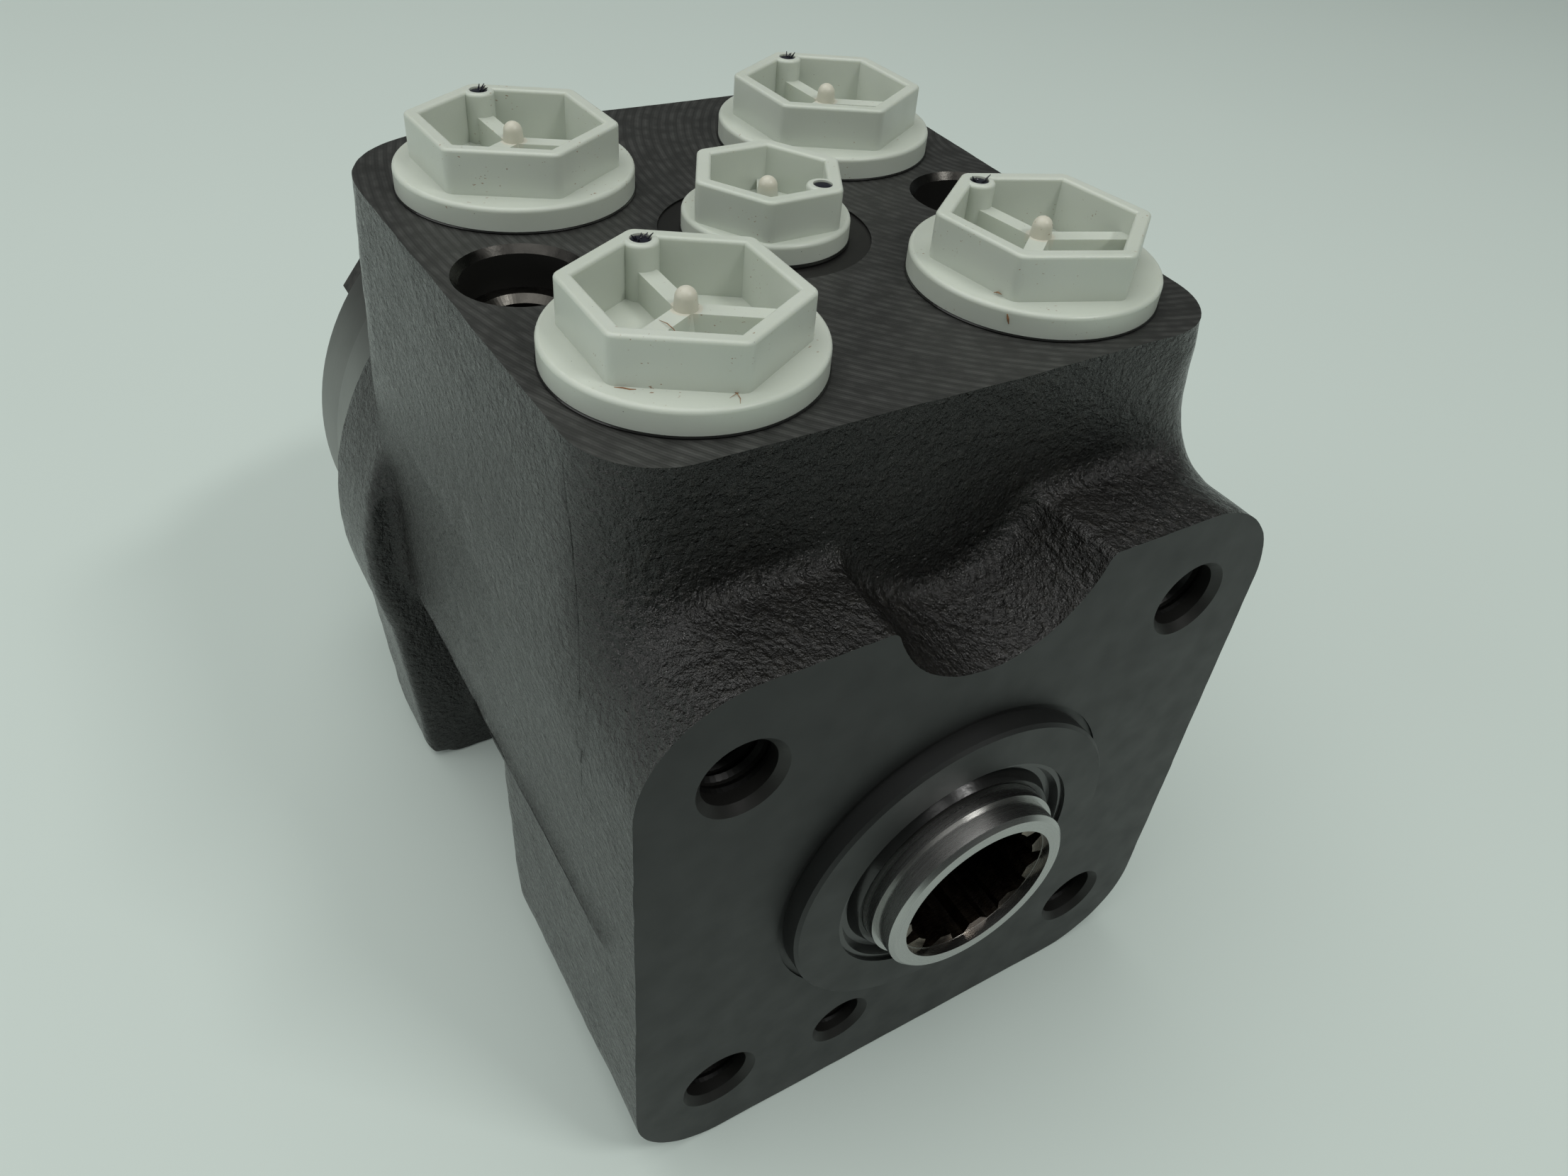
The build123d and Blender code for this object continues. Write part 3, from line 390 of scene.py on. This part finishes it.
def welded(node):
    """Places and triangles of a node, in millimetres, with corners at one place joined."""
    mesh = node.data
    mesh.calc_loop_triangles()
    places = np.empty(len(mesh.vertices) * 3, np.float32)
    mesh.vertices.foreach_get("co", places)
    faces = np.empty(len(mesh.loop_triangles) * 3, np.int32)
    mesh.loop_triangles.foreach_get("vertices", faces)
    places = np.round(places.reshape(-1, 3).astype(float) / MM, 4)
    points, index = np.unique(places, axis=0, return_inverse=True)
    faces = index.ravel()[faces].reshape(-1, 3)
    whole = (faces[:, 0] != faces[:, 1]) & (faces[:, 1] != faces[:, 2]) & (faces[:, 2] != faces[:, 0])
    return points, faces[whole]


def edge_table(faces):
    """Each edge once, and which edges each triangle has."""
    pairs = np.sort(faces[:, [[0, 1], [1, 2], [2, 0]]].reshape(-1, 2), axis=1)
    edges, index = np.unique(pairs, axis=0, return_inverse=True)
    return edges, index.ravel().reshape(-1, 3)


def refined(points, faces, tags, chosen, limit):
    """Splits the edges of the chosen triangles until none is longer than the limit."""
    while True:
        edges, of_face = edge_table(faces)
        length = np.linalg.norm(points[edges[:, 0]] - points[edges[:, 1]], axis=1)
        used = np.zeros(len(edges), bool)
        used[of_face[chosen[tags]].ravel()] = True
        split = used & (length > limit)
        if not split.any():
            return points, faces, tags
        middle = np.full(len(edges), -1)
        middle[split] = len(points) + np.arange(split.sum())
        points = np.vstack([points, points[edges[split]].mean(axis=1)])
        mids = middle[of_face]
        count = (mids >= 0).sum(axis=1)
        new_faces = [faces[count == 0]]
        new_tags = [tags[count == 0]]
        for marked in (1, 2, 3):
            rows = np.where(count == marked)[0]
            if not len(rows):
                continue
            f, m, t = faces[rows], mids[rows], tags[rows]
            if marked == 1:
                turn = np.argmax(m >= 0, axis=1)
            elif marked == 2:
                turn = (np.argmax(m < 0, axis=1) + 1) % 3
            else:
                turn = np.zeros(len(rows), int)
            order = (turn[:, None] + np.arange(3)) % 3
            f = np.take_along_axis(f, order, 1)
            m = np.take_along_axis(m, order, 1)
            a, b, c = f.T
            ab, bc, ca = m.T
            if marked == 1:
                made = [(a, ab, c), (ab, b, c)]
            elif marked == 2:
                made = [(ab, b, bc), (a, ab, bc), (a, bc, c)]
            else:
                made = [(a, ab, ca), (ab, b, bc), (ca, bc, c), (ab, bc, ca)]
            for triple in made:
                new_faces.append(np.stack(triple, axis=1))
                new_tags.append(t)
        faces, tags = np.vstack(new_faces), np.concatenate(new_tags)


def face_normals(points, faces):
    a, b, c = points[faces[:, 0]], points[faces[:, 1]], points[faces[:, 2]]
    cross = np.cross(b - a, c - a)
    area = np.linalg.norm(cross, axis=1)
    return cross, cross / np.maximum(area, 1e-12)[:, None]


# Casting: the housing's own surface, with the rough skin and the worn edges that sand leaves

PORTS = {"t": (-21.55, 28.47), "p": (21.55, 28.47), "l": (-21.55, 72.53), "r": (21.55, 72.53)}
HALF_PITCH = 82.5 / 2 / math.sqrt(2)
SKIN_STEP = 1.15
UNDERCUT_RADIUS = 23.2
PORT_CENTRE_Y = 50.5
FACE_BOLT_X = 29.5
PORT_HEIGHT = 57.0
MOUTH_CHAMFER = 0.88
FRONT_HOLES = [(sx * HALF_PITCH, sz * HALF_PITCH, 5.3, 17.5) for sx in (-1, 1) for sz in (-1, 1)]
FRONT_HOLES.append((-11.0, -30.2, 4.5, 12.5))
CAST, FRONT, TOP, HOLE, EDGE = range(5)


def surface_kinds(points, faces):
    """Tells the milled faces, drilled walls and cut edges of the housing from its cast skin."""
    middle = points[faces].mean(axis=1)
    normal = face_normals(points, faces)[1]
    x, y, z = middle.T
    kind = np.full(len(faces), CAST)
    round_shaft = np.hypot(x, z)
    kind[(np.abs(y) < 0.02) & (normal[:, 1] < -0.9)] = FRONT
    kind[(round_shaft < UNDERCUT_RADIUS) & (y < 0.35)] = FRONT
    kind[(y > 93.4) & (normal[:, 1] > 0.9)] = FRONT
    kind[(z > PORT_HEIGHT - 0.03) & (normal[:, 2] > 0.9)] = TOP
    hole = (round_shaft < 22.0) & (y > -2.4)
    edge = np.zeros(len(faces), bool)
    for px, pz, reach, depth in FRONT_HOLES:
        hole |= (np.hypot(x - px, z - pz) < reach) & (y > 0.02) & (y < depth)
    below = (z > 18) & (z < PORT_HEIGHT - 0.03)
    for px, py in PORTS.values():
        hole |= (np.hypot(x - px, y - py) < 12.8) & below
    for sx in (-1, 1):
        inside = (np.hypot(x - sx * FACE_BOLT_X, y - PORT_CENTRE_Y) < 7.5) & below
        hole |= inside
        edge |= inside & (z > PORT_HEIGHT - MOUTH_CHAMFER)
    hole |= (np.hypot(x, y - PORT_CENTRE_Y) < 12.5) & below
    hole |= (round_shaft < 39.0) & (y > 76)
    kind[hole & (kind == CAST)] = HOLE
    kind[edge & (kind == HOLE)] = EDGE
    return kind


EDGE_PASSES, CORNER_PASSES, CORNER_REACH = 14, 3, 7.5
MEAN_REACH, GRID_STEP = 2.5, 1.0
CORNER_LOW, CORNER_HIGH = (40.8, 12.0, 20.0), (36.5, 13.7, 45.0)
FLANGE_SIDE, FLANGE_BACK, FLANGE_SHOULDER = 40.8, 12.0, 28.6
SIDE_LOW, SIDE_HIGH = 13.5, 30.8
SIDE_LEAN, GROOVE_GROWTH = 0.127, 0.324
SHOULDER_SPOT, SPOT_PASSES = (40.5, 12.3, 29.5), 120


def level_side(points, on_cast):
    """Fills the narrow groove between the side of the port block and the side of the front flange."""
    x, y, z = points.T
    above = np.maximum(z - FLANGE_SHOULDER, 0)
    side = FLANGE_SIDE - SIDE_LEAN * above
    depth = 0.45 + GROOVE_GROWTH * above
    groove = on_cast & (np.abs(x) > side - depth) & (y > FLANGE_BACK - 0.6) & (y < FLANGE_BACK + depth + 0.15)
    groove &= (z > SIDE_LOW) & (z < SIDE_HIGH)
    points[groove, 0] = np.sign(x[groove]) * side[groove]


def front_corner_nearness(points):
    """1 on the two upright corners where the port block grows out of the flange, 0 away from them."""
    mirrored = np.abs(points * (1, 0, 0)) + points * (0, 1, 1)
    low, high = np.array(CORNER_LOW), np.array(CORNER_HIGH)
    along = high - low
    share = np.clip((mirrored - low) @ along / (along @ along), 0, 1)
    distance = np.linalg.norm(mirrored - low - share[:, None] * along, axis=1)
    return np.exp(-(distance / CORNER_REACH) ** 2)


def vertex_sum(count, faces, values):
    total = np.zeros((count, values.shape[1]))
    for corner in range(3):
        np.add.at(total, faces[:, corner], values)
    return total


def grid_cells(places, low):
    """The eight grid corners round each place, and the share of it that falls to each."""
    cell = (places - low) / GRID_STEP
    base = np.floor(cell).astype(int)
    part = cell - base
    for corner in np.ndindex(2, 2, 2):
        yield base + corner, np.where(corner, part, 1 - part).prod(axis=1)


def blurred_grid(places, values, low, size):
    """Spreads the values of some places over a grid and blurs it."""
    grid = np.zeros((*size, values.shape[1]))
    for cell, share in grid_cells(places, low):
        np.add.at(grid, tuple(cell.T), values * share[:, None])
    for axis in range(3):
        steps = np.arange(size[axis]) * GRID_STEP
        spread = np.exp(-(steps[:, None] - steps[None]) ** 2 / (2 * MEAN_REACH ** 2))
        grid = np.moveaxis(np.tensordot(spread, grid, axes=(1, axis)), 0, axis)
    return grid


def round_front_corners(points, skin, free):
    """Rounds the upright corners: each point moves to the level of the mean skin round it."""
    weight = front_corner_nearness(points) * free
    for _ in range(CORNER_PASSES):
        cross = face_normals(points, skin)[0]
        size = np.linalg.norm(cross, axis=1)[:, None]
        sums = vertex_sum(len(points), skin, np.hstack([size, cross]))
        for side in (-1, 1):
            moved = np.where((weight > 0.02) & (points[:, 0] * side > 0))[0]
            low = points[moved].min(axis=0) - 3 * MEAN_REACH
            high = points[moved].max(axis=0) + 3 * MEAN_REACH
            around = (sums[:, 0] > 0) & (points > low).all(axis=1) & (points < high).all(axis=1)
            values = np.hstack([sums[:, :1], sums[:, :1] * points, sums[:, 1:]])[around]
            cells = ((high - low) / GRID_STEP).astype(int) + 3
            grid = blurred_grid(points[around], values, low, cells)
            found = sum(grid[tuple(cell.T)] * share[:, None] for cell, share in grid_cells(points[moved], low))
            mean = found[:, 1:4] / found[:, :1]
            out = found[:, 4:] / np.linalg.norm(found[:, 4:], axis=1)[:, None]
            step = ((mean - points[moved]) * out).sum(axis=1) * weight[moved]
            points[moved] += out * step[:, None]


def relax(points, edges, weight, passes):
    """Moves points towards the middle of their neighbours along the given edges."""
    used, ends = np.unique(edges, return_inverse=True)
    ends = ends.reshape(-1, 2)
    here = np.concatenate([ends[:, 0], ends[:, 1]])
    there = np.concatenate([ends[:, 1], ends[:, 0]])
    number = np.bincount(here, minlength=len(used))
    step = (0.5 * weight[used] * (number > 1))[:, None]
    part = points[used]
    for _ in range(passes):
        total = np.stack([np.bincount(here, part[there, axis], len(used)) for axis in range(3)], axis=1)
        part += (total / number[:, None] - part) * step
    points[used] = part


def casting():
    points, faces = welded(frame["nodes"]["housing"])
    kind = surface_kinds(points, faces)
    points, faces, kind = refined(points, faces, kind, np.arange(5) == CAST, SKIN_STEP)
    count = len(points)
    rough = kind == CAST
    on_cast = np.zeros(count, bool)
    on_cast[faces[rough].ravel()] = True
    on_machined = np.zeros(count, bool)
    on_machined[faces[~rough].ravel()] = True
    rim = on_cast & on_machined
    free = on_cast & ~on_machined
    level_side(points, on_cast)

    # Which edges of the skin are sharp, and how near each point lies to one
    edges, of_face = edge_table(faces)
    normal = face_normals(points, faces)[1]
    first = np.full(len(edges), -1)
    second = np.full(len(edges), -1)
    for corner in range(3):
        for row in (of_face[:, corner],):
            fresh = first[row] < 0
            index = np.arange(len(faces))
            first[row[fresh]] = index[fresh]
    for corner in range(3):
        row = of_face[:, corner]
        other = first[row] != np.arange(len(faces))
        second[row[other]] = np.arange(len(faces))[other]
    pair = (first >= 0) & (second >= 0)
    bend = np.ones(len(edges))
    bend[pair] = (normal[first[pair]] * normal[second[pair]]).sum(axis=1)
    both_cast = np.zeros(len(edges), bool)
    both_cast[pair] = rough[first[pair]] & rough[second[pair]]
    mixed = np.zeros(len(edges), bool)
    mixed[pair] = rough[first[pair]] != rough[second[pair]]
    sharp = both_cast & (bend < math.cos(math.radians(24)))
    seeds = np.unique(edges[sharp].ravel())
    tree = kdtree.KDTree(len(seeds))
    for number, seed in enumerate(seeds):
        tree.insert(points[seed], number)
    tree.balance()
    near = np.zeros(count)
    for number in np.where(on_cast)[0]:
        distance = tree.find(points[number])[2]
        near[number] = math.exp(-(distance / 2.2) ** 2)

    # Rounding: skin points drift to the middle of their neighbours, rim points only along the rim
    skin_edges = edges[both_cast]
    relax(points, skin_edges, near * free, EDGE_PASSES)
    relax(points, edges[mixed], near * rim, EDGE_PASSES)
    round_front_corners(points, faces[rough], free)
    mirrored = np.column_stack([np.abs(points[:, 0]), points[:, 1:]])
    spot = np.exp(-(np.linalg.norm(mirrored - SHOULDER_SPOT, axis=1) / 2.2) ** 2) * free
    relax(points, skin_edges[(spot[skin_edges] > 0.01).any(axis=1)], spot, SPOT_PASSES)

    # Relief: broad waves and lumps, all of them inwards, and only within the milled plane at its rim
    cross = face_normals(points, faces)[0]
    out = vertex_sum(count, faces[rough], cross[rough])
    out /= np.maximum(np.linalg.norm(out, axis=1), 1e-9)[:, None]
    flat = vertex_sum(count, faces[~rough], cross[~rough])
    flat /= np.maximum(np.linalg.norm(flat, axis=1), 1e-9)[:, None]
    for number in np.where(on_cast)[0]:
        p = Vector(points[number])
        depth = (0.16 * noise.noise(p / 15) + 0.07 * noise.noise(p / 5.2)
                 + 0.07 * noise.noise(p / 2.1) - 0.18)
        push = out[number]
        if rim[number]:
            push = push - flat[number] * (push @ flat[number])
        points[number] += push * min(depth, 0)

    made = piece_from("housing_casting", points * MM, faces, "housing")
    for key in ("cast", "front", "top", "hole", "edge"):
        made.data.materials.append(paints[key])
    made.data.polygons.foreach_set("material_index", kind.astype(np.int32))
    made.data.polygons.foreach_set("use_smooth", np.ones(len(faces), bool))
    lookup = {tuple(edge): (mixed[i] or (not both_cast[i] and bend[i] < 0.82)) for i, edge in enumerate(edges)}
    ends = np.empty(len(made.data.edges) * 2, np.int32)
    made.data.edges.foreach_get("vertices", ends)
    ends = np.sort(ends.reshape(-1, 2), axis=1)
    marks = made.data.attributes.new("sharp_edge", "BOOLEAN", "EDGE")
    marks.data.foreach_set("value", np.array([lookup.get(tuple(edge), False) for edge in ends], bool))
    made.data.update()
    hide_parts("housing")
    return made


casting()


# Threads in the blind holes

def thread(name, mouth, axis, radius, start, end, pitch, height):
    """A helical ridge on the wall of a hole: mouth is a point on its axis, depths run inwards."""
    into = Vector(axis).normalized()
    side = into.orthogonal().normalized()
    up = into.cross(side)
    steps = 40
    total = int((end - start) / pitch * steps)
    points, faces = [], []
    for step in range(total + 1):
        turn = 2 * math.pi * step / steps
        depth = start + pitch * step / steps
        fade = min(1.0, step / steps, (total - step) / steps)
        ray = side * math.cos(turn) + up * math.sin(turn)
        for reach, shift in ((radius + 0.05, -0.46), (radius - height * fade, 0.0), (radius + 0.05, 0.46)):
            points.append((Vector(mouth) + into * (depth + shift * pitch) + ray * reach) * MM)
    for step in range(total):
        low, high = 3 * step, 3 * step + 3
        for corner in range(3):
            after = (corner + 1) % 3
            faces.append((low + corner, low + after, high + after, high + corner))
    faces.append((0, 2, 1))
    faces.append((3 * total, 3 * total + 1, 3 * total + 2))
    return piece_from(name, points, faces, "housing", "deep")


def turned_ring(name, x, y, profile, body, paint_key, sides=72):
    """A ring turned about an upright axis: its profile is a closed loop of radii and heights."""
    points, faces = [], []
    for side in range(sides):
        turn = 2 * math.pi * side / sides
        for radius, height in profile:
            points.append(Vector((x + radius * math.cos(turn), y + radius * math.sin(turn), height)) * MM)
    loop = len(profile)
    for side in range(sides):
        here, there = side * loop, (side + 1) % sides * loop
        for corner in range(loop):
            after = (corner + 1) % loop
            faces.append((here + corner, there + corner, there + after, here + after))
    return piece_from(name, points, faces, body, paint_key)


DRILL_RADIUS = 4.25
SEAT_DEPTH = 4.8
RECESS_DEPTH = 10.5
seat_top = PORT_HEIGHT - SEAT_DEPTH
seat_foot = PORT_HEIGHT - RECESS_DEPTH + 0.02
for column, sx in (("left", -1), ("right", 1)):
    for row, sz in (("low", -1), ("high", 1)):
        thread(f"front_thread_{row}_{column}", (sx * HALF_PITCH, 0, sz * HALF_PITCH), (0, 1, 0),
               DRILL_RADIUS, 2.4, 15.5, 1.5, 0.34)
    thread(f"top_thread_{column}", (sx * FACE_BOLT_X, PORT_CENTRE_Y, PORT_HEIGHT), (0, 0, -1),
           DRILL_RADIUS, SEAT_DEPTH + 2, 25, 1.5, 0.36)
    turned_ring(f"face_bolt_seat_{column}", sx * FACE_BOLT_X, PORT_CENTRE_Y,
                [(5.1, seat_top), (4.3, seat_top - 0.8), (4.3, seat_foot), (6.47, seat_foot), (6.47, seat_top)],
                "housing", "seat")
thread("extra_thread", (-11, 0, -30.2), (0, 1, 0), 3.4, 2.0, 11, 1.25, 0.30)


# Plugs: the dark tag holes with their frayed threads, and the fibres and stains of handling

def strand(name, places, thickness, body, paint_key):
    """A thin round fibre through some places in millimetres, narrower at its ends."""
    sides = 6
    points, faces = [], []
    for number, place in enumerate(places):
        before, after = places[max(number - 1, 0)], places[min(number + 1, len(places) - 1)]
        along = (Vector(after) - Vector(before)).normalized()
        side = along.cross(Vector((0.31, 0.17, 0.93))).normalized()
        up = along.cross(side)
        reach = thickness / 2 * (0.35 if number in (0, len(places) - 1) else 1.0)
        for corner in range(sides):
            turn = 2 * math.pi * corner / sides
            points.append((Vector(place) + (side * math.cos(turn) + up * math.sin(turn)) * reach) * MM)
    for number in range(len(places) - 1):
        low, high = number * sides, (number + 1) * sides
        for corner in range(sides):
            after = (corner + 1) % sides
            faces.append((low + corner, low + after, high + after, high + corner))
    faces.append(tuple(reversed(range(sides))))
    faces.append(tuple(range(len(points) - sides, len(points))))
    return piece_from(name, points, faces, body, paint_key)


POST_INSET = 2.6
LIP_TOP, LIP_FOOT = PORT_HEIGHT + 0.27, PORT_HEIGHT + 0.03
dice = random.Random(11)
plug_middle = {}
for port, hex_radius, turned, frays, lip_radius, sunk in (
        ("t", 12.35, 0.0, 7, 14.15, 0), ("p", 12.35, 9.0, 6, 14.15, 0), ("l", 12.35, 3.0, 6, 14.15, 0),
        ("r", 12.35, 2.0, 5, 14.15, 0), ("ls", 9.35, 211.5, 0, 9.85, 0.25)):
    plug_middle[port] = middle_of(plug_nodes[port])
    angle = math.radians(90 + turned)
    post = plug_middle[port] + Vector((math.cos(angle), math.sin(angle), 0)) * (hex_radius - POST_INSET)
    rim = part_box(plug_nodes[port])[1][2] / MM
    inner = lip_radius - 1.0
    turned_ring(f"seal_lip_{port}", plug_middle[port].x, plug_middle[port].y,
                [(inner, LIP_TOP), (inner, LIP_FOOT - sunk), (lip_radius - 0.12, LIP_FOOT - sunk),
                 (lip_radius, (LIP_TOP + LIP_FOOT - sunk) / 2), (lip_radius - 0.08, LIP_TOP)],
                f"plug_{port}", "rubber", 120)
    turned_ring(f"tag_ink_{port}", post.x, post.y,
                [(0.02, rim - 0.12), (0.02, rim - 1.46), (1.07, rim - 1.46), (1.07, rim - 0.20), (0.8, rim - 0.13)],
                f"plug_{port}", "ink", 32)
    for number in range(frays):
        lean = dice.uniform(0, 2 * math.pi)
        start, spread, tall = dice.uniform(0, 0.6), dice.uniform(0.3, 0.75), dice.uniform(0.15, 0.6)
        out = Vector((math.cos(lean), math.sin(lean), 0))
        base = Vector((post.x, post.y, rim - 0.4)) + out * start
        strand(f"tag_fray_{port}_{number}",
               [base, base + out * spread * 0.3 + Vector((0, 0, 0.3)),
                base + out * spread + Vector((0.1, -0.1, 0.4 + tall))],
               0.26, f"plug_{port}", "ink")

FLANGE_TOP = 59.92
for name, port, thickness, places in (
        ("flange_streak", "t", 0.16, [(-10.3, -6.6, FLANGE_TOP), (-9.7, -7.0, FLANGE_TOP),
                                      (-9.2, -7.5, FLANGE_TOP), (-8.7, -7.7, FLANGE_TOP)]),
        ("long_fibre", "t", 0.07, [(-1.3, -11.2, FLANGE_TOP), (-1.0, -11.9, FLANGE_TOP + 0.1),
                                   (-1.1, -12.7, FLANGE_TOP + 0.05), (-1.5, -13.4, FLANGE_TOP)]),
        ("short_fibre", "t", 0.07, [(-0.3, -11.6, FLANGE_TOP), (-1.1, -12.0, FLANGE_TOP + 0.12),
                                    (-1.9, -12.2, FLANGE_TOP)]),
        ("well_hair", "t", 0.09, [(-3.3, -1.1, 62.2), (-3.1, -2.4, 62.45), (-3.0, -3.4, 62.4), (-2.9, -4.4, 62.1)]),
        ("rim_stain", "p", 0.26, [(-10.95, -8.75, 59.35), (-10.85, -8.87, 58.9), (-10.72, -9.02, 58.3)]),
        ("foot_stain", "p", 0.16, [(-10.2, -5.4, 60.0), (-10.12, -5.9, 60.25), (-10.02, -6.4, 60.2)])):
    middle = plug_middle[port]
    strand(f"{name}_{port}", [(middle.x + x, middle.y + y, z) for x, y, z in places], thickness,
           f"plug_{port}", "fibre")


# Floor, lights and camera

def lit_background(colour, seen):
    """A floor that takes shadows, at a set brightness where it is seen directly or in gloss."""
    m = Maker("floor_paper", colour, 0.0, 0.85)
    m.put("Base Color", m.mixed(m.ranged(m.grain(160, 2), 0.3, 0.7), tuple(c * 0.985 for c in colour), colour))
    m.put("Specular IOR Level", 0.15)
    m.put("Emission Color", (*seen, 1))
    path = m.node("ShaderNodeLightPath")
    rays = m.maths("MAXIMUM", path.outputs["Is Camera Ray"], path.outputs["Is Glossy Ray"])
    rays = m.maths("MAXIMUM", rays, path.outputs["Is Transmission Ray"])
    m.put("Emission Strength", m.maths("MULTIPLY", rays, 0.10))
    return m.material


floor_height = cad_box[0][2] - 0.00005
floor_mesh = bpy.data.meshes.new("floor")
span = 2.4
floor_mesh.from_pydata([(-span, -span, floor_height), (span, -span, floor_height), (span, span, floor_height),
                        (-span, span, floor_height)], [], [(0, 1, 2, 3)])
floor = bpy.data.objects.new("floor", floor_mesh)
bpy.context.scene.collection.objects.link(floor)
floor.data.materials.append(lit_background((0.56, 0.625, 0.59), (0.52, 0.60, 0.56)))


def area_light(name, place, target, size, power, colour):
    data = bpy.data.lights.new(name, "AREA")
    data.shape = "RECTANGLE"
    data.size, data.size_y = size
    data.energy = power
    data.color = colour
    lamp = bpy.data.objects.new(name, data)
    bpy.context.scene.collection.objects.link(lamp)
    lamp.location = place
    lamp.rotation_mode = "QUATERNION"
    lamp.rotation_quaternion = (Vector(target) - Vector(place)).to_track_quat("-Z", "Y")


area_light("overhead_softbox", (-0.22, 0.14, 1.05), (0, 0.03, 0), (1.3, 1.0), 7.0, (1.0, 1.0, 0.985))
area_light("left_softbox", (-1.05, 0.30, 0.50), (0, 0.05, 0.01), (0.9, 0.8), 2.6, (0.98, 1.0, 0.99))
area_light("ceiling_strip", (0.36, -0.56, 0.95), (0, 0.03, 0), (0.30, 0.10), 3.2, (1.0, 1.0, 0.98))

world = bpy.data.worlds.new("studio")
bpy.context.scene.world = world
world.use_nodes = True
backdrop = world.node_tree.nodes["Background"]
backdrop.inputs["Color"].default_value = (0.54, 0.60, 0.57, 1)
rays = world.node_tree.nodes.new("ShaderNodeLightPath")
room = world.node_tree.nodes.new("ShaderNodeMapRange")
room.inputs["To Min"].default_value = 0.36
room.inputs["To Max"].default_value = 0.12
world.node_tree.links.new(rays.outputs["Is Glossy Ray"], room.inputs["Value"])
world.node_tree.links.new(room.outputs["Result"], backdrop.inputs["Strength"])

# Camera as solved from the photograph
FOCAL_PIXELS, WIDTH_PIXELS = 1656.13, 2212
AZIMUTH, ELEVATION, ROLL = (math.radians(a) for a in (-34.341, 40.767, 5.703))
back = Vector((math.sin(AZIMUTH) * math.cos(ELEVATION), -math.cos(AZIMUTH) * math.cos(ELEVATION),
               math.sin(ELEVATION)))
level = (-back).cross(Vector((0, 0, 1))).normalized()
rise = level.cross(-back)
right = level * math.cos(ROLL) + rise * math.sin(ROLL)
above = rise * math.cos(ROLL) - level * math.sin(ROLL)
camera_data = bpy.data.cameras.new("camera")
camera_data.sensor_fit = "HORIZONTAL"
camera_data.sensor_width = 36
camera_data.lens = FOCAL_PIXELS / WIDTH_PIXELS * 36
camera_data.clip_start, camera_data.clip_end = 0.005, 20
camera = bpy.data.objects.new("camera", camera_data)
bpy.context.scene.collection.objects.link(camera)
camera.matrix_world = Matrix.Translation((-0.067764, -0.059869, 0.114553)) @ Matrix(
    (right, above, back)).transposed().to_4x4()
bpy.context.scene.camera = camera
bpy.context.scene.view_settings.view_transform = "Standard"
